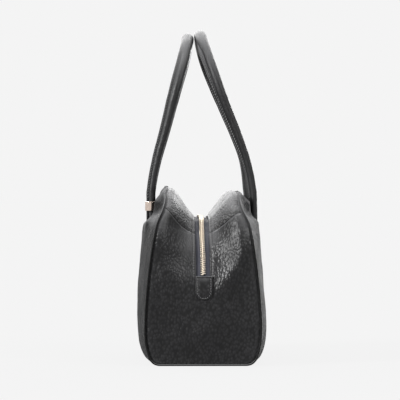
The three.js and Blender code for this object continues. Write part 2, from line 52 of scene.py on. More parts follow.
# Sizes of the body, the same as those of the solids
BAG_LENGTH = 300.0
BELLY_DEPTH = 148.0
END_DEPTH = 129.4
PEAK_HEIGHT = 197.0
CORNER_RADIUS = 70.0
LEATHER = 2.0
GAP = 0.35
SEAM_GAP = 0.45
FLAT_SHARE = 0.55
BELLY_POWER = 2.5

# Sizes of the sag along the zip, the same as those of the solids
VALLEY_SAG = 29.5
SAG_HEAD_HEIGHT = PEAK_HEIGHT - 12.0
SAG_FOOT_HEIGHT = PEAK_HEIGHT - 122.0
END_BULGE = 3.0

# Sizes of the zip, the same as those of the solids
ZIP_OPENING = 15.0
ZIP_END_HEIGHT = PEAK_HEIGHT - 99.0
TAPE_WIDTH = 24.0
TAPE_THICKNESS = 0.9
TAPE_TAIL = 6.0
TAPE_LIFT = -(LEATHER + GAP)
CHAIN_HEIGHT = 2.4
CHAIN_LIFT = TAPE_LIFT + GAP + CHAIN_HEIGHT
CHAIN_END_SPACE = 2.5
SLIDER_WIDTH = 10.0
SLIDER_LENGTH = 12.0
SLIDER_END_SPACE = 1.0
PULL_LENGTH = 24.0
PULL_WIDTH = 7.0
PULL_THICKNESS = 1.6
TAB_LENGTH = 26.0
TAB_THICKNESS = 1.8
TAB_OVERLAP = 1.0

# Sizes of the handles and their rings, the same as those of the solids
HANDLE_SPREAD = 150.0
HANDLE_RISE = {-1: 172.4, 1: 176.6}
HANDLE_FOOT_RADIUS = 5.15
HANDLE_TOP_RADIUS = 7.3
HANDLE_SEAT_GAP = 1.3
RING_HEIGHT = 10.5
RING_RISE = 13.9
RING_WALL = 0.9

# Sizes that differ a little from those of the solids, for the looks
SEAM_RISE = 0.6
STRIP_SEAM_HEIGHT = {-1: PEAK_HEIGHT - 21.0, 1: PEAK_HEIGHT - 25.0}
STRIP_SEAM_SLANT = {-1: 17.0, 1: 12.0}
TAB_WIDTH = 18.8
PIPING_RADIUS = 1.05
HANDLE_TAPER_START = 20.0
HANDLE_TAPER_LENGTH = 140.0

# Leather beside its seams and edges: what only the looks have
TUCK_DEPTH = 1.1
TUCK_WIDTH = 2.0
SWELL_RISE = 0.25
SWELL_PLACE = 6.0
SWELL_WIDTH = 3.5
WRAP_TOP_PULL = 0.3
PANEL_SEAM_PULL = 0.5
STRIP_SEAM_PULL = 0.3
CROSS_SEAM_PULL = 0.8
OPENING_LIP = 1.0
STITCH_GROOVE = 2.6
ZIP_SWAY = -1.0
ZIP_SWAY_HEIGHTS = (112.0, 152.0)

# Zip, tabs, piping, handles and stitches: what only the looks have
CORD_RISE = 0.55
CORD_PLACE = 3.5
CORD_WIDTH = 0.6
TOOTH_PITCH = 1.27
TOOTH_SHIFT = 1.05
TOOTH_HALF_SIZES = (1.8, 0.61, CHAIN_HEIGHT / 2)
TAB_SHIFT = 1.1
TAB_EDGE_RADIUS = 1.1
TAB_STITCH_INSET = 2.0
TAB_STITCH_PITCH = 2.6
OPENING_STITCH_PITCH = 3.0
HANDLE_STITCH_PITCH = 3.0
HANDLE_TWIST = {-1: 0.2, 1: 1.8}
TWIST_HEIGHTS = (190.0, 245.0)
UNTWIST_HEIGHTS = (285.0, 360.0)
LIP_TWIST = {-1: 0.5, 1: 0.15}
LIP_TWIST_HEIGHTS = (170.0, 300.0)
ROLL_SHIFT = 0.24
ROLL_RADIUS = 1 - ROLL_SHIFT
LIP_THICKNESS = 0.22
PIPING_SINK = 0.8
PIPING_LIFT = 0.2
TOP_PIPING_LIFT = -1.6

# Steps of the meshes
NORMAL_STEP = 0.2
WRAP_ROWS = 112
WRAP_COLUMNS = 168
PANEL_COLUMNS = 44
SLOT_COLUMNS = 8
ROWS_ABOVE_ZIP_END = 60
ROWS_BELOW_ZIP_END = 70
STRIP_COLUMNS = 48
STRIP_END_ROWS = 34
STRIP_TOP_ROWS = 66
ZIP_END_STEPS = 90
ZIP_TOP_STEPS = 80
ROLL_SIDES = 60
RING_STEPS = 96
RING_SIDES = 40

# Camera: level, 2.75 m away and a little to the front; place in metres, heading in degrees
CAMERA_LENS = 212.73
CAMERA_PLACE = (2.7497, -0.0443, 0.183)
CAMERA_HEADING = 89.1

# Light: radiance of the surroundings, share of light that the floor gives back, and the suns
# (name, strength, spread, tilt down from overhead, heading round from +X; angles in degrees)
SURROUNDINGS = 0.905
FLOOR_TONE = 0.02
FLOOR_REACH = 400.0
SUNS = [
    ("key_light", 5.5, 20, 68, -58),
    ("left_light", 0.8, 8, 76, -108),
    ("right_light", 1.6, 20, 58, 44),
    ("back_light", 3.0, 70, 56, 180),
    ("right_rim_light", 1.3, 20, 86, 148),
]

# Leathers: name, size of a pebble (metres), stretch of the grain upwards, depth of its relief
# (metres), tone, roughness and gloss
LEATHERS = [
    ("wrap", 0.0024, 1.4, 0.0005, (0.008, 0.008, 0.0084), 0.63, 0.06),
    ("end", 0.0025, 1.5, 0.0003, (0.009, 0.009, 0.0095), 0.38, 0.18),
    ("strip", 0.0024, 1.0, 0.0007, (0.013, 0.013, 0.0135), 0.45, 0.34),
    ("handle", 0.0012, 1.2, 0.00014, (0.008, 0.008, 0.0085), 0.44, 0.26),
    # The piping's tone is darker than the other leathers': partly the bead's own black, partly painted shade
    # for the shaded groove along the seams.
    ("piping", 0.0010, 1.0, 0.00008, (0.003, 0.003, 0.003), 0.5, 0.1),
]
# Painted sheen: the paler tone that up-facing leather is blended towards, for the light it catches from
# above.
PAINTED_SHEEN_TONE = (0.09, 0.09, 0.092)
THREAD_TONES = ((0.04, 0.04, 0.041), (0.13, 0.13, 0.132))
TAPE_TONES = ((0.009, 0.010, 0.017), (0.038, 0.041, 0.062))
ZIP_TONE = (0.76, 0.67, 0.55)
RING_TONE = (0.66, 0.55, 0.48)


def named_rows(columns, rows):
    """Turns rows of values into one array for each named column."""
    return {name: np.array([row[k] for row in rows]) for k, name in enumerate(columns)}


# Rows down one side of the body, near those of the solids, with the end seam a little wider at
# the top edge, the heel and the base: heights are shares of PEAK_HEIGHT, end_width of half
# END_DEPTH and the widths at mid length of half BELLY_DEPTH
SIDE_ROWS = named_rows(
    [
        "name", "front_end_height", "back_end_height", "end_width",
        "front_height", "back_height", "front_width", "back_width",
    ],
    [
        ["top edge", 1.0, 0.976, 0.625, 1.012, 0.984, 0.54, 0.553],
        ["brow", 0.965, 0.954, 0.643, 0.985, 0.965, 0.624, 0.624],
        ["yoke", 0.92, 0.91, 0.66, 0.93, 0.925, 0.665, 0.665],
        ["crease", 0.865, 0.86, 0.71, 0.845, 0.845, 0.68, 0.68],
        ["ledge", 0.81, 0.81, 0.785, 0.805, 0.805, 0.865, 0.855],
        ["shoulder", 0.755, 0.755, 0.83, 0.755, 0.755, 0.918, 0.903],
        ["upper side", 0.61, 0.61, 0.9, 0.61, 0.61, 0.95, 0.925],
        ["side", 0.445, 0.445, 0.96, 0.445, 0.445, 0.985, 0.965],
        ["belly", 0.27, 0.27, 0.998, 0.27, 0.27, 1.0, 0.998],
        ["low side", 0.15, 0.15, 0.995, 0.135, 0.135, 0.978, 0.996],
        ["heel", 0.076, 0.076, 0.952, 0.058, 0.058, 0.93, 0.95],
        ["heel turn", 0.026, 0.026, 0.89, 0.015, 0.015, 0.83, 0.845],
        ["base edge", 0.0, 0.0, 0.74, 0.0, 0.0, 0.685, 0.685],
        ["base", 0.0, 0.0, 0.36, 0.0, 0.0, 0.36, 0.36],
        ["base middle", 0.0, 0.0, 0.0, 0.0, 0.0, 0.0, 0.0],
    ],
)
LAST_ROW = 14.0
BASE_EDGE_ROW = 12.0
CREASE_ROW = 3.0
SHOULDER_ROW = 5.0
CORNER_CENTRE = PEAK_HEIGHT - CORNER_RADIUS

# How much the leather swells beside the handles' feet at each row, and how far and where
YOKE_SWELL = named_rows(
    ["row", "weight"],
    [[0.0, 0.0], [1.0, 0.36], [2.0, 0.9], [3.0, 0.85], [4.0, 0.5], [5.0, 0.15], [6.0, 0.0]],
)
YOKE_SWELL_DEPTH = {-1: 9.0, 1: 8.5}
YOKE_SWELL_PLACE = 97.0
YOKE_SWELL_WIDTH = 13.0

# Folds of the end panels: a low ridge from one place to another, as distances across and heights
PANEL_FOLDS = named_rows(
    ["name", "from_y", "from_z", "to_y", "to_z", "rise", "width"],
    [
        ["right fold", 66.0, 150.0, 16.0, 76.0, 3.4, 11.0],
        ["left fold", -60.0, 122.0, -20.0, 80.0, 1.8, 14.0],
    ],
)

# Waves of soft leather: direction, share of the asked length, start and height
WAVES = named_rows(
    ["x", "y", "z", "size", "start", "height"],
    [
        [1.0, 0.0, 0.4, 1.0, 0.7, 1.0],
        [0.5, 0.0, -1.0, 0.83, 2.1, 1.0],
        [0.8, 0.6, 0.9, 0.57, 4.0, 1.0],
        [-0.2, 0.5, 1.1, 0.41, 5.2, 0.6],
        [1.4, 0.9, -0.7, 0.29, 1.3, 0.4],
    ],
)

# How the gusset rises from the zip opening to the seam, as shares of the sag; a little fuller
# than in the solids
RISE_ROWS = named_rows(
    ["share", "front_rise", "back_rise"],
    [
        [0.0, 0.0, 0.0],
        [0.2, 0.18, 0.24],
        [0.4, 0.44, 0.56],
        [0.6, 0.73, 0.88],
        [0.8, 0.96, 1.06],
        [1.0, 1.0, 1.0],
    ],
)

# How each handle leans in as it rises, as shares of half BELLY_DEPTH from the middle plane; the
# back one leans in a little less than in the solids
HANDLE_ROWS = named_rows(
    ["height", "front_lean", "back_lean"],
    [
        [0.0, 0.785, 0.78],
        [0.1, 0.785, 0.775],
        [0.16, 0.777, 0.761],
        [0.32, 0.696, 0.685],
        [0.48, 0.574, 0.523],
        [0.64, 0.461, 0.336],
        [0.76, 0.37, 0.199],
        [0.88, 0.278, 0.075],
        [1.0, 0.21, -0.014],
    ],
)


def side_key(side, what):
    """Name of a column for the front or the back."""
    return ("front_" if side < 0 else "back_") + what


def mix(low, high, share):
    """Straight blend from low to high."""
    return low + (high - low) * share


def smooth_step(low, high, value):
    """0 below low, 1 above high, and 3s^2 - 2s^3 of the share between."""
    share = np.clip((value - low) / (high - low), 0, 1)
    return share * share * (3 - 2 * share)


def bell(distance, width):
    """1 at distance 0, falling as exp of minus the square of distance over width."""
    return np.exp(-((distance / width) ** 2))


def unit(vectors):
    """Vectors at length 1."""
    return vectors / np.maximum(np.linalg.norm(vectors, axis=-1, keepdims=True), 1e-12)


def powered(value, power):
    """A value's size raised to a power, with its sign kept."""
    return np.sign(value) * np.abs(value) ** power


def full_turn(count):
    """Angles of even steps round a circle."""
    return np.linspace(0, 2 * math.pi, count, endpoint=False)


def square_to(vectors, along):
    """Unit vectors at right angles to the directions along, nearest to the given ones."""
    return unit(vectors - along * (vectors * along).sum(axis=1, keepdims=True))


def column(values, row):
    """Smooth value at fractional rows of a table's column: a Catmull-Rom curve."""
    last = len(values) - 1
    row = np.asarray(row, float)
    index = np.clip(np.floor(row), 0, last - 1).astype(int)
    share = row - index
    before = values[np.maximum(index - 1, 0)]
    start = values[index]
    stop = values[index + 1]
    after = values[np.minimum(index + 2, last)]
    square = share * share
    cube = square * share
    value = (2 * cube - 3 * square + 1) * start + (3 * square - 2 * cube) * stop
    return value + (cube - 2 * square + share) * (stop - before) / 2 + (cube - square) * (after - start) / 2


def end_height(side, row):
    """Height of the end seam at a row, levelling off softly at SEAM_RISE over the base."""
    height = column(SIDE_ROWS[side_key(side, "end_height")], row) * PEAK_HEIGHT
    return (height + np.sqrt(height**2 + 4 * SEAM_RISE**2)) / 2


def corner_rise(row):
    """Height above the start of the round corner, which follows the front seam."""
    return np.clip(end_height(-1, row) - CORNER_CENTRE, 0, CORNER_RADIUS)


def half_length(row):
    """Half the side's length at a row: a quarter circle rounds each top corner."""
    return BAG_LENGTH / 2 - CORNER_RADIUS + np.sqrt(CORNER_RADIUS**2 - corner_rise(row) ** 2)


def yoke_swell(side, row, x):
    """Leather pushed out beside each handle's foot: a bump along X times a weight for the row."""
    weight = np.interp(row, YOKE_SWELL["row"], YOKE_SWELL["weight"])
    return YOKE_SWELL_DEPTH[side] * weight * bell(x - YOKE_SWELL_PLACE, YOKE_SWELL_WIDTH)


def body_point(side, row, share):
    """Outer face of the wrap: mid-length widths and heights blend into those of the end seam."""
    row, share = np.broadcast_arrays(np.asarray(row, float), np.asarray(share, float))
    away = np.abs(share)
    mid_width = column(SIDE_ROWS[side_key(side, "width")], row) * BELLY_DEPTH / 2
    end_width = column(SIDE_ROWS["end_width"], row) * END_DEPTH / 2
    mid_height = np.maximum(column(SIDE_ROWS[side_key(side, "height")], row), 0) * PEAK_HEIGHT
    width = mix(mid_width, end_width, away**BELLY_POWER) + yoke_swell(side, row, away * half_length(row))
    height = mix(mid_height, end_height(side, row), smooth_step(FLAT_SHARE, 1, away))
    return np.stack([share * half_length(row), side * width, height], axis=-1)


def body_at_length(side, row, x):
    """The same face at a row and a place along X."""
    return body_point(side, row, np.clip(x / half_length(row), -1, 1))


def body_normal(side, row, share):
    """Outward normal of that face: a step down the side crossed with a step along it."""
    upper = np.minimum(row, LAST_ROW - NORMAL_STEP)
    x = share * half_length(row)
    down = body_at_length(side, upper + NORMAL_STEP, x) - body_at_length(side, upper, x)
    low_share = np.maximum(share - NORMAL_STEP / 2, -1)
    high_share = np.minimum(share + NORMAL_STEP / 2, 1)
    along = body_point(side, row, high_share) - body_point(side, row, low_share)
    return unit(np.cross(down, along) * -side)


def crowded(count, low=0.0, high=0.0, reach=0.12):
    """Shares from 0 to 1 whose steps shrink by low near 0 and by high near 1."""
    even = np.linspace(0, 1, 2000)
    density = 1 / (1 - low * bell(even, reach) - high * bell(1 - even, reach))
    total = np.concatenate([[0], np.cumsum((density[1:] + density[:-1]) / 2)])
    return np.interp(np.linspace(0, 1, count), total / total[-1], even)


def lengths_along(points):
    """Running length of one line of points, or of each line of a grid down its rows."""
    steps = np.linalg.norm(np.diff(points, axis=0), axis=-1)
    return np.concatenate([np.zeros_like(steps[:1]), np.cumsum(steps, axis=0)])


def rows_by_length(count, first, last, low=0.0, high=0.0):
    """Rows between two rows, spaced by length along the end seam."""
    fine = first + (last - first) * np.linspace(0, 1, 4000) ** 2
    travelled = lengths_along(body_point(-1, fine, 1.0))
    return np.interp(crowded(count, low, high) * travelled[-1], travelled, fine)


def row_at_height(height):
    """Row of the front end seam at a height."""
    rows = np.linspace(0, BASE_EDGE_ROW, 6000)
    return np.interp(height, end_height(-1, rows)[::-1], rows[::-1])


def grid_normals(points):
    """Unit normals of a grid: its slope down the rows crossed with its slope along the columns."""
    return unit(np.cross(np.gradient(points, axis=0), np.gradient(points, axis=1)))


def closed_sheet(outer, inner, keep=None):
    """Two skins over the kept cells of a grid, joined by a wall wherever a cell has no neighbour."""
    rows, columns = outer.shape[:2]
    kept = np.ones((rows - 1, columns - 1), bool) if keep is None else keep
    top = np.arange(rows * columns).reshape(rows, columns)
    under = top + rows * columns
    i, j = np.nonzero(kept)
    faces = [np.stack([top[i, j], top[i + 1, j], top[i + 1, j + 1], top[i, j + 1]], axis=1)]
    faces.append(np.stack([under[i, j], under[i, j + 1], under[i + 1, j + 1], under[i + 1, j]], axis=1))
    padded = np.pad(kept, 1)
    sides = [
        (padded[:-2, 1:-1], (0, 1), (0, 0)),
        (padded[2:, 1:-1], (1, 0), (1, 1)),
        (padded[1:-1, :-2], (0, 0), (1, 0)),
        (padded[1:-1, 2:], (1, 1), (0, 1)),
    ]
    for neighbour, start, stop in sides:
        i, j = np.nonzero(kept & ~neighbour)
        first = (i + start[0], j + start[1])
        second = (i + stop[0], j + stop[1])
        faces.append(np.stack([top[first], under[first], under[second], top[second]], axis=1))
    points = np.concatenate([outer.reshape(-1, 3), inner.reshape(-1, 3)])
    return points, np.concatenate(faces)


def swept(centres, u_axes, v_axes, u_radii, v_radii, angles):
    """Carries a section along a path: centre + u cos(angle) u_radius + v sin(angle) v_radius."""
    shape = (len(centres), angles.shape[-1])
    u_reach = np.broadcast_to(u_radii * np.cos(angles), shape)[..., None]
    v_reach = np.broadcast_to(v_radii * np.sin(angles), shape)[..., None]
    rings = centres[:, None] + u_axes[:, None] * u_reach + v_axes[:, None] * v_reach
    return rings.reshape(-1, 3), tube_faces(*shape)


def tube_faces(steps, sides, loop=False):
    """Quads between rings of points, and one flat face over each open end."""
    ids = np.arange(steps * sides).reshape(steps, sides)
    if loop:
        ids = np.concatenate([ids, ids[:1]])
    turned = np.roll(ids, -1, axis=1)
    quads = np.stack([ids[:-1], turned[:-1], turned[1:], ids[1:]], axis=-1).reshape(-1, 4).tolist()
    if loop:
        return quads
    return quads + [ids[0, ::-1].tolist(), ids[-1].tolist()]


def rounded_block(rings, sides, power):
    """Superellipsoid of half size 1: each of its three circles is raised to a power."""
    lift = np.linspace(-math.pi / 2, math.pi / 2, rings + 2)[1:-1][:, None]
    turn = full_turn(sides)[None, :]
    x = powered(np.cos(lift), power) * powered(np.cos(turn), power)
    y = powered(np.cos(lift), power) * powered(np.sin(turn), power)
    z = powered(np.sin(lift), power) * np.ones_like(turn)
    return np.stack([x, y, z], axis=-1).reshape(-1, 3), tube_faces(rings, sides)


def placed_copies(block, centres, x_axes, y_axes, z_axes, half_sizes):
    """Copies of a block, each at its centre along its own three axes."""
    points, faces = block
    scaled = points * np.asarray(half_sizes, float)
    placed = centres[:, None] + scaled[None, :, 0, None] * x_axes[:, None]
    placed = placed + scaled[None, :, 1, None] * y_axes[:, None]
    placed = placed + scaled[None, :, 2, None] * z_axes[:, None]
    every = [[index + k * len(points) for index in face] for k in range(len(centres)) for face in faces]
    return placed.reshape(-1, 3), every


def put_piece(name, shape, material, nodes=(), wear=None, uv=None, sharp=50.0):
    """Makes the mesh, smooth but for corners sharper than an angle, and ties it to the frame."""
    points, faces = shape
    mesh = bpy.data.meshes.new(name)
    faces = faces if isinstance(faces, list) else faces.tolist()
    mesh.from_pydata((points * MM).tolist(), [], faces)
    values = np.zeros(len(points), np.float32) if wear is None else np.asarray(wear, np.float32)
    mesh.attributes.new("wear", "FLOAT", "POINT").data.foreach_set("value", values)
    if uv is not None:
        flat = np.asarray(uv, np.float32)[corner_points(mesh)].ravel()
        mesh.uv_layers.new(name="surface").uv.foreach_set("vector", flat)
    mesh.polygons.foreach_set("use_smooth", np.ones(len(mesh.polygons), bool))
    mesh.update()
    turn_outward(mesh)
    drop_loose_points(mesh)
    mesh.set_sharp_from_angle(angle=math.radians(sharp))
    mesh.materials.append(material)
    piece = bpy.data.objects.new(name, mesh)
    bpy.context.scene.collection.objects.link(piece)
    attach(piece, "root")
    if nodes:
        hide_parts(*nodes)


def corner_points(mesh):
    """The point that each corner of each face uses."""
    points = np.zeros(len(mesh.loops), int)
    mesh.loops.foreach_get("vertex_index", points)
    return points


def turn_outward(mesh):
    """Flips every face if the closed mesh has a negative volume."""
    centres = np.zeros(len(mesh.polygons) * 3)
    normals = np.zeros(len(mesh.polygons) * 3)
    areas = np.zeros(len(mesh.polygons))
    mesh.polygons.foreach_get("center", centres)
    mesh.polygons.foreach_get("normal", normals)
    mesh.polygons.foreach_get("area", areas)
    flow = (centres.reshape(-1, 3) * normals.reshape(-1, 3)).sum(axis=1) @ areas
    if flow < 0:
        mesh.flip_normals()


def drop_loose_points(mesh):
    """Deletes points that no face uses, as in the cells that a sheet leaves out."""
    used = np.zeros(len(mesh.vertices), bool)
    used[corner_points(mesh)] = True
    if used.all():
        return
    work = bmesh.new()
    work.from_mesh(mesh)
    work.verts.ensure_lookup_table()
    bmesh.ops.delete(work, geom=[work.verts[k] for k in np.nonzero(~used)[0]], context="VERTS")
    work.to_mesh(mesh)
    work.free()


# Stations along the gusset, which closes the body up one end, over the top and down the other
def end_stations(end, rows):
    """Stations at rows of an end seam: one for each line across, or a grid of them."""
    rows = np.asarray(rows, float)
    rows = rows[:, None] if rows.ndim == 1 else rows
    return {
        "share": np.full(rows.shape, float(end)),
        "row": rows,
        "turn": np.arcsin(corner_rise(rows) / CORNER_RADIUS),
        "end": np.full(rows.shape, float(end)),
    }


def top_stations(shares, columns=1):
    """Stations along the top edges, at shares of their length."""
    shares = np.tile(shares[:, None], (1, columns))
    return {
        "share": shares,
        "row": np.zeros(shares.shape),
        "turn": np.full(shares.shape, math.pi / 2),
        "end": np.where(shares < 0, -1.0, 1.0),
    }


def joined(*parts):
    """Stations of several stretches, one after another."""
    return {key: np.concatenate([part[key] for part in parts]) for key in parts[0]}


def over_the_top(rows, top_count):
    """Stations from the left end's rows, over the top, to the right end's rows."""
    rows = rows[:, None] if rows.ndim == 1 else rows
    top = top_stations(np.linspace(-1, 1, top_count), rows.shape[1])
    return joined(end_stations(-1, rows[::-1]), top, end_stations(1, rows))


def strip_seam_row(side, share, gap=0.0):
    """Row of the seam under a strip, which falls from the body (share 1) to the zip (share 0)."""
    return row_at_height(STRIP_SEAM_HEIGHT[side] - STRIP_SEAM_SLANT[side] * (1 - share) - gap)


def stretched(rows, fixed, edge, places):
    """A grid of rows drawn out from a fixed row, so that the row `edge` falls on each place."""
    return fixed + (rows[:, None] - fixed) * (places[None, :] - fixed) / (edge - fixed)


def gusset_outward(stations):
    """Direction that the gusset faces: out at the ends, up on top."""
    turn = stations["turn"]
    return np.stack([stations["end"] * np.cos(turn), np.zeros(turn.shape), np.sin(turn)], axis=-1)


def gusset_edge(stations, side):
    """Edge of the gusset: just inside the wrap's leather."""
    seam = body_point(side, stations["row"], stations["share"])
    return seam - (LEATHER + SEAM_GAP) * body_normal(side, stations["row"], stations["share"])


def sag_depth(stations):
    """How far the gusset hangs in along its middle, less a bulge low on the end."""
    height = body_point(-1, stations["row"], stations["share"])[..., 2]
    sag = VALLEY_SAG * smooth_step(SAG_FOOT_HEIGHT, SAG_HEAD_HEIGHT, height)
    return sag - END_BULGE * np.sin(math.pi * np.clip(height / SAG_FOOT_HEIGHT, 0, 1))


def gusset_point(stations, y):
    """Outer face: a straight line from seam to seam, let down by the sag times a side's profile."""
    front = gusset_edge(stations, -1)
    back = gusset_edge(stations, 1)
    share = np.clip((y - front[..., 1]) / (back[..., 1] - front[..., 1]), 0, 1)[..., None]
    base = front + (back - front) * share
    base[..., 1] = y
    reach = np.where(y < 0, np.abs(front[..., 1]), np.abs(back[..., 1]))
    half = ZIP_OPENING / 2
    beyond = np.clip((np.abs(y) - half) / (reach - half), 0, 1) * (len(RISE_ROWS["share"]) - 1)
    rise = np.where(y < 0, column(RISE_ROWS["front_rise"], beyond), column(RISE_ROWS["back_rise"], beyond))
    inward = sag_depth(stations) * (1 - rise)
    points = base - gusset_outward(stations) * inward[..., None]
    middle = 1 - np.clip(np.abs(y) / reach, 0, 1) ** 2
    points[..., 1] += ZIP_SWAY * smooth_step(*ZIP_SWAY_HEIGHTS, points[..., 2]) * middle
    return points


def across_shares(count):
    """Shares of the way from the zip opening out to the seam, closer near both."""
    return crowded(count, 0.85, 0.8, 0.1)


def side_distances(stations, side, shares):
    """Distances from the middle at shares of the way from the zip opening to the seam."""
    return side * mix(ZIP_OPENING / 2, np.abs(gusset_edge(stations, side)[..., 1]), shares[None, :])


def rounded_edge(distance, radius):
    """1 at an edge and 0 from a radius on, along a quarter circle."""
    return 1.0 - np.sqrt(1.0 - np.clip(1.0 - distance / radius, 0, 1) ** 2)


def seam_tuck(distance):
    """Depth that leather is drawn in beside a sewn seam, and the low swell next to it."""
    return TUCK_DEPTH * bell(distance, TUCK_WIDTH) - SWELL_RISE * bell(distance - SWELL_PLACE, SWELL_WIDTH)


def opening_edge(distance):
    """Turned edge at the zip: a rounded lip and the groove that its stitches pull."""
    lip = OPENING_LIP * rounded_edge(distance, OPENING_LIP)
    return lip + 0.3 * bell(distance - STITCH_GROOVE, 0.6) - 0.25 * bell(distance - 5.0, 2.0)


def unevenness(points, size):
    """Slow rise and fall of soft leather: a sum of five crossing waves of about that length."""
    total = 0.0
    for x, y, z, share, start, height in zip(*WAVES.values()):
        phase = (points @ np.array([x, y, z])) * 2 * math.pi / (share * size)
        total = total + height * np.sin(phase + start)
    return total / WAVES["height"].sum()


def panel_folds(y, z):
    """Height of the folds over an end panel: a bell across each ridge, fading at its two ends."""
    total = np.zeros(np.shape(y))
    for _, from_y, from_z, to_y, to_z, rise, width in zip(*PANEL_FOLDS.values()):
        run = np.array([to_y - from_y, to_z - from_z])
        length = np.hypot(*run)
        along = ((y - from_y) * run[0] + (z - from_z) * run[1]) / length
        off = ((y - from_y) * run[1] - (z - from_z) * run[0]) / length
        fade = smooth_step(-8, 18, along) * (1 - smooth_step(length - 22, length + 6, along))
        total = total + rise * bell(off, width) * fade
    return total * smooth_step(10, 17, np.abs(y))


def finished_sheet(points, normals, tuck, keep=None):
    """Sinks the outer face by tuck along its normals and gives it the leather's wall."""
    outer = points - normals * tuck[..., None]
    return closed_sheet(outer, outer - normals * LEATHER, keep)


def skin_wear(wear):
    """Wear of the outer skin, and none on the inner one."""
    flat = wear.ravel()
    return np.concatenate([flat, np.zeros_like(flat)])


def make_wrap(material):
    """The wrap: rows down the front, across the base and up the back, columns along the bag."""
    rows = rows_by_length(WRAP_ROWS, 0.0, LAST_ROW, 0.8, 0.0)
    shares = 2 * crowded(WRAP_COLUMNS, 0.8, 0.8, 0.06) - 1
    front = body_point(-1, rows[:, None], shares[None, :])
    back = body_point(1, rows[:, None], shares[None, :])[::-1][1:]
    points = np.concatenate([front, back])
    rows = np.concatenate([rows, rows[::-1][1:]])
    down = lengths_along(points)
    from_top = np.minimum(down, down[-1:] - down)
    from_end = (1 - np.abs(shares))[None, :] * half_length(rows)[:, None]
    tuck = wrap_tuck(points, rows, from_top, from_end)
    wear = 0.9 * bell(from_end - 2.0, 2.5) + 0.9 * bell(from_top - 2.0, 2.5)
    shape = finished_sheet(points, wrap_normals(points, rows, shares), tuck)
    put_piece("wrap_leather", shape, material, ["body_wrap"], skin_wear(wear))


def wrap_tuck(points, rows, from_top, from_end):
    """Depth that the wrap is drawn in beside its seams, less the unevenness of its open face."""
    fade = smooth_step(3, 14, from_end) * smooth_step(3, 14, from_top)
    fade = fade * (1 - smooth_step(9.0, 11.0, rows))[:, None]
    end_tuck = seam_tuck(from_end) * (1 - smooth_step(10.5, 12.0, rows))[:, None]
    tuck = np.maximum(end_tuck, WRAP_TOP_PULL * seam_tuck(from_top))
    return tuck - 0.7 * fade * unevenness(points, 95.0)


def wrap_normals(points, rows, shares):
    """Normals of the wrap, blended into one steady direction at the tips of its top edges."""
    steady = np.zeros(points.shape)
    steady[..., 1] = np.sign(points[..., 1])
    steady[..., 2] = 0.6
    at_tip = (1 - smooth_step(0.3, 1.0, rows))[:, None] * smooth_step(0.86, 0.96, np.abs(shares))[None, :]
    return unit(mix(grid_normals(points), unit(steady), at_tip[..., None]))


def edge_blend(normals, stations, from_seam):
    """Turns a sheet's normals straight out over its last millimetres, clear of the wrap."""
    straight = bell(from_seam, 2.0)[..., None]
    return unit(mix(normals, gusset_outward(stations), straight))


def gusset_tuck(off, seam_pull):
    """Depth drawn in beside the seam to the wrap, the strips' end seam and the zip's edge."""
    tuck = np.maximum(seam_pull * seam_tuck(off["seam"]), CROSS_SEAM_PULL * seam_tuck(off["strip"]))
    return tuck + opening_edge(off["zip"]) * off["beside_zip"]


def gusset_wear(off):
    """Wear along the same seams and edge."""
    wear = 0.7 * bell(off["seam"] - 2.5, 2.0) + 0.5 * bell(off["strip"] - 2.0, 1.5)
    return skin_wear(wear + 0.6 * off["beside_zip"] * bell(off["zip"], 1.2))


def panel_grid(end):
    """Rows down from the strips' seam, and distances across: front side, zip and back side."""
    shares = across_shares(PANEL_COLUMNS)
    middle = np.linspace(-0.5, 0.5, SLOT_COLUMNS + 1)[1:-1] * ZIP_OPENING
    front_places = strip_seam_row(-1, shares[::-1], SEAM_GAP)
    back_places = strip_seam_row(1, np.concatenate([0 * middle, shares]), SEAM_GAP)
    places = np.concatenate([front_places, back_places])
    first = strip_seam_row(1, 1.0, SEAM_GAP)
    zip_row = row_at_height(ZIP_END_HEIGHT)
    above = stretched(rows_by_length(ROWS_ABOVE_ZIP_END, first, zip_row, 0.75, 0.5), zip_row, first, places)
    below = rows_by_length(ROWS_BELOW_ZIP_END, zip_row, BASE_EDGE_ROW, 0.5, 0.5)[1:]
    rows = np.concatenate([above, np.tile(below[:, None], (1, len(places)))])
    front = side_distances(end_stations(end, rows[:, :PANEL_COLUMNS]), -1, shares[::-1])
    back = side_distances(end_stations(end, rows[:, -PANEL_COLUMNS:]), 1, shares)
    return rows, np.concatenate([front, np.tile(middle, (len(rows), 1)), back], axis=1)


def panel_distances(points, rows, ys):
    """Distances of an end panel's points from its seams and the zip, and whether they lie beside it."""
    across = lengths_along(points.transpose(1, 0, 2)).T
    zip_row = row_at_height(ZIP_END_HEIGHT)
    above = 1 - smooth_step(zip_row - 0.05, zip_row + 0.1, rows)
    return {
        "seam": np.minimum(across, across[:, -1:] - across),
        "strip": lengths_along(points),
        "zip": np.abs(np.abs(ys) - ZIP_OPENING / 2),
        "beside_zip": above * (np.abs(ys) >= ZIP_OPENING / 2),
    }


def make_end_panel(end, label, material):
    """An end panel with its seams tucked in, its folds raised and the zip's slot left out."""
    rows, ys = panel_grid(end)
    stations = end_stations(end, rows)
    points = gusset_point(stations, ys)
    off = panel_distances(points, rows, ys)
    relief = 0.35 * unevenness(points, 70.0) + panel_folds(ys, points[..., 2])
    tuck = gusset_tuck(off, PANEL_SEAM_PULL) - smooth_step(4, 14, off["seam"]) * relief
    is_slot = np.zeros((len(rows) - 1, ys.shape[1] - 1), bool)
    first = PANEL_COLUMNS - 1
    is_slot[:ROWS_ABOVE_ZIP_END - 1, first:first + SLOT_COLUMNS] = True
    normals = edge_blend(grid_normals(points) * end, stations, off["seam"])
    shape = finished_sheet(points, normals, tuck, ~is_slot)
    name = "end_panel_leather_" + label
    put_piece(name, shape, material, ["end_panel_" + label], gusset_wear(off))


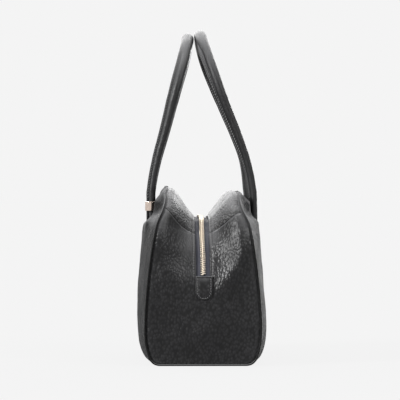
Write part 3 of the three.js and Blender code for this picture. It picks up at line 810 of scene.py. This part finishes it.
def make_top_strip(side, label, material):
    """A top strip: rows along the zip, columns from the zip opening out to the top edge."""
    shares = across_shares(STRIP_COLUMNS)
    last = strip_seam_row(side, 1.0)
    down = rows_by_length(STRIP_END_ROWS, 0.0, last, 0.0, 0.75)[1:]
    stations = over_the_top(stretched(down, 0.0, last, strip_seam_row(side, shares)), STRIP_TOP_ROWS)
    points = gusset_point(stations, side_distances(stations, side, shares))
    across = lengths_along(points.transpose(1, 0, 2)).T
    run = lengths_along(points)
    off = {
        "seam": across[:, -1:] - across,
        "strip": np.minimum(run, run[-1:] - run),
        "zip": across,
        "beside_zip": 1.0,
    }
    relief = 0.5 * unevenness(points, 60.0)
    tuck = gusset_tuck(off, STRIP_SEAM_PULL) - smooth_step(4, 14, off["seam"]) * relief
    shape = finished_sheet(points, edge_blend(grid_normals(points) * side, stations, off["seam"]), tuck)
    name = "top_strip_leather_" + label
    put_piece(name, shape, material, ["top_strip_" + label], gusset_wear(off))


def zip_line(height, y=0.0):
    """The zip's middle line down to a height on both ends, with its three directions."""
    stations = over_the_top(rows_by_length(ZIP_END_STEPS, 0.0, row_at_height(height))[1:], ZIP_TOP_STEPS)
    offsets = np.tile([-ZIP_OPENING / 2, y, ZIP_OPENING / 2], (len(stations["row"]), 1))
    points = gusset_point(stations, offsets)
    centre = points[:, 1]
    along = unit(np.gradient(centre, axis=0))
    across = square_to(unit(points[:, 2] - points[:, 0]), along)
    return {"centre": centre, "along": along, "across": across, "up": np.cross(along, across)}


def points_at(points, travelled, spots):
    """Points of a line at running lengths along it."""
    return np.stack([np.interp(spots, travelled, values) for values in points.T], axis=-1)


def line_at(line, distances):
    """A line's points and directions at distances along it."""
    travelled = lengths_along(line["centre"])
    found = {key: points_at(values, travelled, distances) for key, values in line.items()}
    return {key: values if key == "centre" else unit(values) for key, values in found.items()}


def even_spots(length, pitch):
    """Middles of equal steps of about a pitch."""
    count = int(length / pitch)
    return (np.arange(count) + 0.5) * length / count


def line_every(line, pitch):
    """A line's points and directions at even steps."""
    return line_at(line, even_spots(lengths_along(line["centre"])[-1], pitch))


def make_tape(material):
    """Woven tape under the leather, with a raised cord each side of the teeth."""
    line = zip_line(ZIP_END_HEIGHT - TAPE_TAIL)
    half = np.array([0.0, 2.6, 3.2, 3.7, 4.2, 5.2, 6.5, 9.0, TAPE_WIDTH / 2])
    y = np.concatenate([-half[:0:-1], half])
    lift = TAPE_LIFT + CORD_RISE * bell(np.abs(y) - CORD_PLACE, CORD_WIDTH)
    rows = line["centre"][:, None] + line["across"][:, None] * y[None, :, None]
    outer = rows + line["up"][:, None] * lift[None, :, None]
    inner = rows + line["up"][:, None] * (TAPE_LIFT - TAPE_THICKNESS)
    spread = np.broadcast_arrays(y[None, :], lengths_along(line["centre"])[:, None])
    uv = np.tile(np.stack(spread, axis=-1).reshape(-1, 2), (2, 1))
    put_piece("zip_tape_woven", closed_sheet(outer, inner), material, ["zip_tape"], uv=uv)


def make_teeth(material):
    """Closed teeth: rounded blocks by turns from each side, meeting past the middle."""
    at = line_every(zip_line(ZIP_END_HEIGHT + CHAIN_END_SPACE), TOOTH_PITCH)
    side = np.where(np.arange(len(at["centre"])) % 2 == 0, 1.0, -1.0)[:, None]
    middle_lift = CHAIN_LIFT - CHAIN_HEIGHT / 2
    centres = at["centre"] + at["across"] * side * TOOTH_SHIFT + at["up"] * middle_lift
    block = rounded_block(5, 10, 0.45)
    shape = placed_copies(block, centres, at["across"], at["along"], at["up"], TOOTH_HALF_SIZES)
    put_piece("zip_teeth", shape, material, ["zip_chain"])


def tab_outline(count, inset=0.0):
    """Distances along a tab and its half widths there: straight sides and a round end."""
    along = inset + (TAB_LENGTH - 2 * inset) * crowded(count, 0.3, 0.9, 0.15)
    past = np.clip(along - (TAB_LENGTH - TAB_WIDTH / 2), 0, None)
    half = np.sqrt(np.clip((TAB_WIDTH / 2 - inset) ** 2 - past**2, 0.3, None))
    return along, half


def make_tab(end, label, material):
    """A tab: columns at shares of its half width, with its edge turned down all round."""
    along, half = tab_outline(40)
    stations = end_stations(end, row_at_height(ZIP_END_HEIGHT + TAB_OVERLAP - along))
    shares = 2 * crowded(30, 0.8, 0.8, 0.1) - 1
    points = gusset_point(stations, half[:, None] * shares[None, :] + TAB_SHIFT * end)
    normals = grid_normals(points) * end
    from_end = np.minimum(TAB_LENGTH - along, along)[:, None]
    from_edge = np.minimum(half[:, None] * (1 - np.abs(shares))[None, :], from_end)
    drop = 0.9 * rounded_edge(from_edge, TAB_EDGE_RADIUS)
    drop = drop + 0.3 * bell(from_edge - TAB_STITCH_INSET, 0.5) - 0.5 * smooth_step(2.0, 7.0, from_edge)
    outer = points + normals * (GAP + TAB_THICKNESS - drop)[..., None]
    shape = closed_sheet(outer, points + normals * 0.05)
    name = "zip_tab_leather_" + label
    put_piece(name, shape, material, ["zip_tab_" + label], skin_wear(bell(from_edge, 1.4)))


def stitch_row(name, at, material, length=1.15, radius=0.34, slant=0.0):
    """Thread showing between the needle holes: short rounded blocks laid along a line."""
    run = at["along"] * math.cos(slant) + at["across"] * math.sin(slant)
    side = np.cross(at["up"], run)
    block = rounded_block(4, 6, 0.8)
    shape = placed_copies(block, at["centre"], run, side, at["up"], (length, radius, radius))
    put_piece(name, shape, material)


def make_tab_stitches(end, label, material):
    """Stitches round a tab, down one side, round the end and up the other."""
    along, half = tab_outline(60, TAB_STITCH_INSET)
    path = np.concatenate([np.stack([along, -half], axis=1), np.stack([along, half], axis=1)[::-1]])
    travelled = lengths_along(path)
    spots = even_spots(travelled[-1], TAB_STITCH_PITCH)
    points = tab_surface(end, points_at(path, travelled, spots))
    run = unit(tab_surface(end, points_at(path, travelled, spots + 0.4)) - points)
    up = square_to(np.tile([float(end), 0.0, 0.0], (len(spots), 1)), run)
    centres = points + up * (GAP + TAB_THICKNESS - 0.15)
    at = {"centre": centres, "along": run, "across": np.cross(up, run), "up": up}
    stitch_row("zip_tab_stitches_" + label, at, material, 0.95, 0.3)


def tab_surface(end, spots):
    """Points of the gusset under a tab, at distances along and across it."""
    stations = end_stations(end, row_at_height(ZIP_END_HEIGHT + TAB_OVERLAP - spots[:, 0]))
    return gusset_point(stations, spots[:, 1:2] + TAB_SHIFT * end)[:, 0]


def make_opening_stitches(material):
    """Stitches along both leather edges of the zip opening."""
    for side, label in SIDES:
        line = zip_line(ZIP_END_HEIGHT, side * (ZIP_OPENING / 2 + STITCH_GROOVE))
        at = line_every(line, OPENING_STITCH_PITCH)
        at["centre"] = at["centre"] - at["up"] * 0.2
        stitch_row("opening_stitches_" + label, at, material)


def tube_along(path, radius, sides):
    """A round tube along a path of points, framed by the path and a steady side direction."""
    along = unit(np.gradient(path, axis=0))
    reference = np.where(np.abs(along[:, :1]) > 0.9, [[0.0, 1.0, 0.0]], [[1.0, 0.0, 0.0]])
    across = unit(np.cross(along, reference))
    return swept(path, across, np.cross(across, along), radius, radius, full_turn(sides))


def even_path(path, step):
    """A path's points at even steps along it."""
    travelled = lengths_along(path)
    return points_at(path, travelled, np.linspace(0, travelled[-1], max(int(travelled[-1] / step), 2)))


def bead_centres(stations, side, lift):
    """Middle of the piping: over the wrap's cut edge, half sunk in the seam."""
    seam = body_point(side, stations["row"], stations["share"])
    normal = body_normal(side, stations["row"], stations["share"])
    return (seam - normal * PIPING_SINK + gusset_outward(stations) * lift)[:, 0]


def make_end_piping(end, label, material):
    """A bead of piping down, under and up an end, which dips to meet the top edges' beads."""
    rows = rows_by_length(160, 0.0, BASE_EDGE_ROW)
    stations = end_stations(end, rows)
    lift = PIPING_LIFT - 1.8 * (1 - smooth_step(0.0, 0.8, rows))[:, None, None]
    path = np.concatenate([bead_centres(stations, -1, lift), bead_centres(stations, 1, lift)[::-1]])
    shape = tube_along(even_path(path, 1.6), PIPING_RADIUS, 12)
    put_piece("piping_bead_" + label, shape, material, ["piping_end_" + label])


def make_top_piping(side, label, material):
    """A bead of piping along a top edge."""
    path = bead_centres(top_stations(np.linspace(-1, 1, 90)), side, TOP_PIPING_LIFT)
    shape = tube_along(path, PIPING_RADIUS, 12)
    put_piece("piping_bead_" + label, shape, material, ["piping_top_" + label])


def ledge_height(side, x, y):
    """Height of the wrap's ledge below a place, found by halving between crease and shoulder."""
    low = np.full(np.shape(y), CREASE_ROW)
    high = np.full(np.shape(y), SHOULDER_ROW)
    for _ in range(30):
        row = (low + high) / 2
        is_inside = np.abs(body_at_length(side, row, x)[..., 1]) < np.abs(y)
        low = np.where(is_inside, row, low)
        high = np.where(is_inside, high, row)
    return body_at_length(side, (low + high) / 2, x)[..., 2]


def handle_lean(side, foot, top, height):
    """Distance of a handle's middle line from the bag's middle plane at a height."""
    share = np.clip((height - foot) / (top - foot), 0, 1)
    row = np.interp(share, HANDLE_ROWS["height"], np.arange(len(HANDLE_ROWS["height"])))
    return side * column(HANDLE_ROWS[side_key(side, "lean")], row) * BELLY_DEPTH / 2


def handle_foot(side):
    """Place of a handle's right foot: distance along X, across Y and height."""
    x = HANDLE_SPREAD / 2
    y = side * HANDLE_ROWS[side_key(side, "lean")][0] * BELLY_DEPTH / 2
    return x, y, float(ledge_height(side, np.array(x), np.array(y))) + HANDLE_SEAT_GAP


def handle_path(side):
    """Middle line of a handle: two upright legs and a half circle, leaning by the table."""
    reach = HANDLE_SPREAD / 2
    top = PEAK_HEIGHT + HANDLE_RISE[side]
    foot = handle_foot(side)[2]
    leg = np.linspace(foot, top - reach, 80)[:-1]
    angle = np.linspace(math.pi, 0, 120)
    x = np.concatenate([np.full(len(leg), -reach), reach * np.cos(angle), np.full(len(leg), reach)])
    z = np.concatenate([leg, top - reach + reach * np.sin(angle), leg[::-1]])
    twist = HANDLE_TWIST[side] * smooth_step(*TWIST_HEIGHTS, z) * (1 - 0.8 * smooth_step(*UNTWIST_HEIGHTS, z))
    path = np.stack([x, handle_lean(side, foot, top, z) - twist * x / reach, z], axis=-1)
    return even_path(path, 2.0)


def handle_frame(path):
    """Directions along a handle, out of its arch, and out of its plane."""
    along = unit(np.gradient(path, axis=0))
    across = unit(np.cross(along, [0.0, 1.0, 0.0]))
    return along, across, np.cross(across, along)


def handle_radius(height):
    """Half width of a handle: thin at the feet, full over the arch."""
    start = PEAK_HEIGHT + HANDLE_TAPER_START
    share = smooth_step(start, start + HANDLE_TAPER_LENGTH, height)
    return mix(HANDLE_FOOT_RADIUS, HANDLE_TOP_RADIUS, share)


def lip_turn(side, height):
    """Angle of the sewn lip from straight forward: it turns towards the ends near the feet."""
    return -math.pi / 2 + LIP_TWIST[side] * (1 - smooth_step(*LIP_TWIST_HEIGHTS, height))


def lip_fade(side, height):
    """How far the lip is rolled away under the top of the arch: 0 on the legs, 1 at the top."""
    top = PEAK_HEIGHT + HANDLE_RISE[side]
    return smooth_step(top - 26, top - 8, height)


def squared_circle(angles, power, thickness=1.0):
    """Radius of a circle squared by a power and flattened to a thickness."""
    return (np.abs(np.cos(angles)) ** power + np.abs(np.sin(angles) / thickness) ** power) ** (-1 / power)


def roll_profile(from_lip):
    """Radius of a handle's section: an offset circle softly joined to a thin sewn lip."""
    circle = np.sqrt(ROLL_RADIUS**2 - (ROLL_SHIFT * np.sin(from_lip)) ** 2) - ROLL_SHIFT * np.cos(from_lip)
    lip = np.where(np.cos(from_lip) > 0, squared_circle(from_lip, 6, LIP_THICKNESS), 0.0)
    return (circle**12 + lip**12) ** (1 / 12)


def make_handle(side, label, material):
    """A rolled handle: its section, with the lip rolled away over the arch, carried along its path."""
    path = handle_path(side)
    across, outward = handle_frame(path)[1:]
    turn = np.linspace(-math.pi, math.pi, ROLL_SIDES, endpoint=False)
    from_lip = turn - 0.72 * np.sin(turn)
    profile = mix(roll_profile(from_lip)[None, :], 0.97, lip_fade(side, path[:, 2])[:, None])
    angles = lip_turn(side, path[:, 2])[:, None] + from_lip[None, :]
    radius = handle_radius(path[:, 2])[:, None] * profile
    points, faces = swept(path, across, outward, radius, radius, angles)
    points = seated_rings(points.reshape(len(path), ROLL_SIDES, 3), path, side).reshape(-1, 3)
    wear = np.tile(0.6 * bell(from_lip, 0.12) + 0.25 * bell(np.abs(from_lip) - 0.5, 0.2), len(path))
    put_piece("handle_roll_" + label, (points, faces), material, ["handle_" + label], wear)


def seated_rings(rings, path, side):
    """Lowers the last rings of each foot onto the ledge, less and less over 20 mm."""
    travelled = lengths_along(path)
    for start, distance in ((0, travelled), (-1, travelled[-1] - travelled)):
        ring = rings[start]
        seat = ledge_height(side, ring[:, 0], ring[:, 1]) - 0.6
        share = np.clip(1 - distance / 20.0, 0, 1)[:, None] ** 2
        rings[..., 2] += share * (seat - ring[:, 2])[None, :]
    return rings


def make_handle_stitches(side, label, material):
    """Slanted stitches through a handle's lip, on both of its faces."""
    path = even_path(handle_path(side), HANDLE_STITCH_PITCH)
    shown = (path[:, 2] > PEAK_HEIGHT - 12) & (lip_fade(side, path[:, 2]) < 0.2)
    along, across, outward = handle_frame(path)
    angle = lip_turn(side, path[:, 2])[:, None]
    radius = handle_radius(path[:, 2])[:, None]
    lip = across * np.cos(angle) + outward * np.sin(angle)
    face = -across * np.sin(angle) + outward * np.cos(angle)
    for sign, word in ((1.0, "out"), (-1.0, "in")):
        centres = path + lip * radius * ROLL_RADIUS + face * sign * (radius * LIP_THICKNESS + 0.15)
        at = {"centre": centres, "along": along, "across": lip, "up": face * sign}
        at = {key: values[shown] for key, values in at.items()}
        stitch_row(f"handle_stitches_{label}_{word}", at, material, 1.25, 0.42, 0.7 * sign)


def make_ring(end, label, material):
    """A metal band round a handle's foot: a rounded oblong section turned about the upright."""
    x, y, foot = handle_foot(-1)
    middle = HANDLE_FOOT_RADIUS + GAP + RING_WALL / 2
    corner = full_turn(RING_SIDES)
    out = middle + powered(np.cos(corner), 0.5) * RING_WALL / 2
    rise = powered(np.sin(corner), 0.22) * RING_HEIGHT / 2
    turn = full_turn(RING_STEPS)[:, None]
    points = np.stack([out * np.cos(turn), out * np.sin(turn), rise + 0 * turn], axis=-1)
    points = points + np.array([end * x, y, foot + RING_RISE])
    shape = (points.reshape(-1, 3), tube_faces(RING_STEPS, RING_SIDES, loop=True))
    name = "handle_band_" + label
    put_piece(name, shape, material, ["handle_ring_" + label], sharp=60.0)


def make_slider(material):
    """The slider on the left end: a wedge over the teeth, its bridge and a flat pull."""
    line = zip_line(ZIP_END_HEIGHT - TAPE_TAIL - 40)
    heights = line["centre"][:ZIP_END_STEPS, 2]
    travelled = lengths_along(line["centre"])[:ZIP_END_STEPS]
    foot = float(np.interp(ZIP_END_HEIGHT + CHAIN_END_SPACE + SLIDER_END_SPACE, heights, travelled))
    make_slider_body(line, foot, material)
    make_slider_bridge(line, foot, material)
    make_pull(line, foot, material)


def make_slider_body(line, foot, material):
    """Superellipse sections along the zip, wide at the nose and narrow at the tail."""
    share = crowded(30, 0.9, 0.9, 0.1)
    at = line_at(line, foot + share * SLIDER_LENGTH)
    edge = np.sqrt(np.clip(1 - np.abs(2 * share - 1) ** 6, 0.0004, 1))[:, None]
    half = SLIDER_WIDTH / 2 * (0.78 + 0.22 * np.sin(math.pi * np.clip(share * 0.95, 0, 1)))[:, None] * edge
    angles = full_turn(32)
    bulge = squared_circle(angles, 4)
    centres = at["centre"] + at["up"] * (CHAIN_LIFT + GAP + 0.9)
    shape = swept(centres, at["across"], at["up"], half * bulge, 0.9 * edge * bulge, angles)
    put_piece("zip_slider_body", shape, material, ["zip_slider"])


def make_slider_bridge(line, foot, material):
    """A low arch from nose to tail of the slider, which the pull hangs on."""
    share = np.linspace(0, 1, 24)
    at = line_at(line, foot + 1.5 + share * (SLIDER_LENGTH - 3.0))
    rise = CHAIN_LIFT + GAP + 1.4 + 1.7 * np.sin(math.pi * share)
    shape = tube_along(at["centre"] + at["up"] * rise[:, None], 0.75, 12)
    put_piece("zip_slider_bridge", shape, material)


def make_pull(line, foot, material):
    """A flat pull: squarish sections whose half width follows a rounded outline."""
    share = crowded(50, 0.9, 0.9, 0.1)
    at = line_at(line, foot + 2.0 - share * PULL_LENGTH)
    half = PULL_WIDTH / 2 * np.sqrt(np.clip(1 - np.abs(2 * share - 1) ** 7, 0.0004, 1))
    half = half * mix(0.8, 1.0, smooth_step(0.1, 0.9, share))
    angles = full_turn(28)
    bulge = squared_circle(angles, 5)
    lift = mix(CHAIN_LIFT + GAP + 3.0, GAP + TAB_THICKNESS + GAP + 0.8, smooth_step(0.0, 0.25, share))
    centres = at["centre"] + at["up"] * lift[:, None]
    shape = swept(centres, at["across"], at["up"], half[:, None] * bulge, PULL_THICKNESS / 2, angles)
    put_piece("zip_pull", shape, material)


def new_material(name):
    """An empty node material and its tree."""
    material = bpy.data.materials.new(name)
    material.use_nodes = True
    return material, material.node_tree


def is_socket(value):
    """Whether a value is the output of a node."""
    return isinstance(value, bpy.types.NodeSocket)


def feed(tree, socket, value):
    """Links a node's output to a socket, or sets the socket to a plain value."""
    if is_socket(value):
        tree.links.new(value, socket)
    else:
        socket.default_value = value


def feed_all(tree, fed, **inputs):
    """Feeds a node's named sockets."""
    for key, value in inputs.items():
        feed(tree, fed.inputs[key.replace("_", " ")], value)


def shade(tree, **inputs):
    """Feeds the named sockets of a material's main shader."""
    feed_all(tree, tree.nodes["Principled BSDF"], **inputs)


def node(tree, kind, settings=None, **inputs):
    """Adds a node with its settings, and feeds its named sockets."""
    made = tree.nodes.new("ShaderNode" + kind)
    for key, value in (settings or {}).items():
        setattr(made, key, value)
    feed_all(tree, made, **inputs)
    return made


def reckoned(tree, kind, operation, *values):
    """Adds a sum on numbers or sockets, and gives its result."""
    made = node(tree, kind, {"operation": operation})
    for index, value in enumerate(values):
        feed(tree, made.inputs[index], value)
    return made.outputs[0]


def math_node(tree, operation, first, second):
    """A sum on two numbers or sockets."""
    return reckoned(tree, "Math", operation, first, second)


def ranged(tree, value, low, high, new_low, new_high):
    """Maps a socket's range onto another, smoothly and clamped."""
    settings = {"interpolation_type": "SMOOTHSTEP"}
    ends = {"From_Min": low, "From_Max": high, "To_Min": new_low, "To_Max": new_high}
    return node(tree, "MapRange", settings, Value=value, **ends).outputs["Result"]


def blended_colour(tree, share, low, high):
    """Colour between two colours, or from a colour socket to a colour, by a socket's share."""
    low, high = (value if is_socket(value) else (*value, 1.0) for value in (low, high))
    made = node(tree, "Mix", {"data_type": "RGBA"}, Factor=share, A=low, B=high)
    return made.outputs["Result"]


def noise(tree, place, scale, detail, output="Fac"):
    """Soft noise of a scale per metre at a place."""
    made = node(tree, "TexNoise", Vector=place, Scale=scale, Detail=detail)
    return made.outputs[output]


def object_place(tree):
    """Object coordinates, in metres."""
    return node(tree, "TexCoord").outputs["Object"]


def relief(tree, height, strength, depth):
    """Normal of a surface with a height of a depth in metres."""
    return node(tree, "Bump", Strength=strength, Distance=depth, Height=height).outputs["Normal"]


def grain_place(tree, place, cell, stretch):
    """A place drawn out upwards and pushed about by a little noise."""
    drawn = node(tree, "Mapping", Vector=place, Scale=(1.0, 1.0, 1.0 / stretch)).outputs["Vector"]
    push = noise(tree, drawn, 0.35 / cell, 1.0, "Color")
    return reckoned(tree, "VectorMath", "MULTIPLY_ADD", push, (0.8 * cell,) * 3, drawn)


def pebbles(tree, vector, cell):
    """Domed pebbles between creases: high at each cell's middle and low at its border."""
    settings = {"feature": "SMOOTH_F1"}
    cells = node(tree, "TexVoronoi", settings, Vector=vector, Scale=1.0 / cell, Smoothness=0.35)
    return ranged(tree, cells.outputs["Distance"], 0.05, 0.8, 1.0, 0.0)


def leather_material(name, cell, stretch, depth, tone, roughness, gloss):
    """Grained leather: pebbles and fine pores in the bump, painted shade in the grain's creases, a painted
    sheen where it faces up, and worn edges smoother.
    """
    material, tree = new_material(name)
    place = object_place(tree)
    height = pebbles(tree, grain_place(tree, place, cell, stretch), cell)
    pores = noise(tree, place, 5.0 / cell, 2.0)
    patches = noise(tree, place, 38.0, 2.0)
    wear = node(tree, "Attribute", {"attribute_name": "wear"}).outputs["Fac"]
    bumps = math_node(tree, "ADD", height, math_node(tree, "MULTIPLY", pores, 0.07))
    matt = ranged(tree, patches, 0.3, 0.7, roughness - 0.05, roughness + 0.07)
    matt = math_node(tree, "SUBTRACT", matt, math_node(tree, "MULTIPLY", wear, 0.08))
    colour = leather_colour(tree, height, patches, wear, tone)
    shade(tree, Base_Color=colour, Roughness=matt, Specular_IOR_Level=gloss)
    shade(tree, Normal=relief(tree, bumps, 1.0, depth))
    return material


def leather_colour(tree, height, patches, wear, tone):
    """Grain pale on its tops and dark in its creases, a painted shade; paler in patches and where worn; and
    blended to a painted sheen where the leather faces up.
    """
    # Painted crease shade: the pebbles' height darkens the grain's creases, scaled by the patches, plus the
    # real wear.
    crease_shade_and_wear = math_node(tree, "MULTIPLY", height, ranged(tree, patches, 0.3, 0.7, 0.55, 1.0))
    crease_shade_and_wear = math_node(tree, "ADD", crease_shade_and_wear, math_node(tree, "MULTIPLY", wear, 0.5))
    dark = tuple(0.4 * value for value in tone)
    pale = tuple(1.5 * value for value in tone)
    grained = blended_colour(tree, crease_shade_and_wear, dark, pale)
    # Painted sheen: leather that faces up is blended towards a paler tone, for the light it catches.
    facing = node(tree, "NewGeometry").outputs["Normal"]
    up = node(tree, "SeparateXYZ", Vector=facing).outputs["Z"]
    return blended_colour(tree, ranged(tree, up, 0.15, 0.95, 0.0, 1.0), grained, PAINTED_SHEEN_TONE)


def thread_material():
    """Waxed black thread: a fine twist in the bump and a little unevenness in the colour."""
    material, tree = new_material("black_thread")
    twist = noise(tree, object_place(tree), 2600.0, 1.0)
    shade(tree, Base_Color=blended_colour(tree, twist, *THREAD_TONES), Roughness=0.45)
    shade(tree, Normal=relief(tree, twist, 0.6, 0.0001))
    return material


def tape_material():
    """Woven tape: ribs across it and a finer thread along it, from the piece's own UV in mm."""
    material, tree = new_material("zip_tape_weave")
    surface = node(tree, "UVMap", {"uv_map": "surface"}).outputs["UV"]
    waves = []
    for direction, scale, distortion in (("Y", 0.42, 0.6), ("X", 0.3, 0.4)):
        settings = {"bands_direction": direction}
        wave = node(tree, "TexWave", settings, Vector=surface, Scale=scale, Distortion=distortion)
        waves.append(wave.outputs["Fac"])
    weave = math_node(tree, "MULTIPLY", *waves)
    shade(tree, Base_Color=blended_colour(tree, weave, *TAPE_TONES), Roughness=0.8, Sheen_Weight=0.25)
    shade(tree, Normal=relief(tree, weave, 0.8, 0.00025))
    return material


def metal_material(name, tone, roughness):
    """Polished plated metal with faint scuffs in its gloss and tone."""
    material, tree = new_material(name)
    scuffs = noise(tree, object_place(tree), 420.0, 4.0)
    matt = ranged(tree, scuffs, 0.35, 0.7, roughness, roughness + 0.14)
    darker = tuple(0.82 * value for value in tone)
    shade(tree, Base_Color=blended_colour(tree, scuffs, tone, darker), Roughness=matt, Metallic=1.0)
    shade(tree, Normal=relief(tree, scuffs, 0.15, 0.00005))
    return material


def put_in_scene(name, data):
    """Links an object that holds a mesh, lamp or camera to the scene."""
    holder = bpy.data.objects.new(name, data)
    bpy.context.scene.collection.objects.link(holder)
    return holder


def make_camera():
    """The photograph's view."""
    camera = bpy.data.cameras.new("camera")
    camera.lens = CAMERA_LENS
    camera.sensor_width = 36.0
    camera.clip_end = 1000.0
    holder = put_in_scene("camera", camera)
    holder.location = CAMERA_PLACE
    holder.rotation_euler = (math.radians(90), 0.0, math.radians(CAMERA_HEADING))
    bpy.context.scene.camera = holder


def make_floor():
    """A plain pale floor, glowing just enough to meet the pale surroundings."""
    material, tree = new_material("pale_floor")
    from_suns = sum(sun[1] * math.cos(math.radians(sun[3])) for sun in SUNS) / math.pi
    glow = SURROUNDINGS - FLOOR_TONE * (SURROUNDINGS + from_suns)
    shade(tree, Base_Color=(FLOOR_TONE, FLOOR_TONE, FLOOR_TONE, 1.0), Roughness=0.9, Specular_IOR_Level=0.0)
    shade(tree, Emission_Color=(1.0, 1.0, 1.0, 1.0), Emission_Strength=glow)
    corners = [(-1, -1), (1, -1), (1, 1), (-1, 1)]
    mesh = bpy.data.meshes.new("floor")
    mesh.from_pydata([(x * FLOOR_REACH, y * FLOOR_REACH, 0) for x, y in corners], [], [(0, 1, 2, 3)])
    mesh.materials.append(material)
    put_in_scene("floor", mesh)


def add_sun(name, strength, spread, tilt, heading):
    """A soft sun: tilt down from overhead and heading round from +X, both in degrees."""
    light = bpy.data.lights.new(name, "SUN")
    light.energy = strength
    light.angle = math.radians(spread)
    put_in_scene(name, light).rotation_euler = (0.0, math.radians(tilt), math.radians(heading))


def make_lights():
    """Pale surroundings and the soft suns."""
    world = bpy.data.worlds.new("studio")
    world.use_nodes = True
    tree = world.node_tree
    feed_all(tree, tree.nodes["Background"], Color=(1.0, 1.0, 1.0, 1.0), Strength=SURROUNDINGS)
    bpy.context.scene.world = world
    bpy.context.scene.view_settings.view_transform = "Standard"
    for sun in SUNS:
        add_sun(*sun)


make_camera()
make_floor()
make_lights()
leathers = {name: leather_material(name + "_leather", *values) for name, *values in LEATHERS}
thread = thread_material()
woven_tape = tape_material()
zip_metal = metal_material("pale_gold", ZIP_TONE, 0.3)
ring_metal = metal_material("rose_gold", RING_TONE, 0.08)

make_wrap(leathers["wrap"])
for end, label in ENDS:
    make_end_panel(end, label, leathers["end"])
    make_tab(end, label, leathers["end"])
    make_tab_stitches(end, label, thread)
    make_ring(end, label, ring_metal)
for side, label in SIDES:
    make_top_strip(side, label, leathers["strip"])
    make_handle(side, label, leathers["handle"])
    make_handle_stitches(side, label, thread)
for end, label in ENDS:
    make_end_piping(end, label, leathers["piping"])
for side, label in SIDES:
    make_top_piping(side, label, leathers["piping"])
make_tape(woven_tape)
make_teeth(zip_metal)
make_slider(zip_metal)
make_opening_stitches(thread)
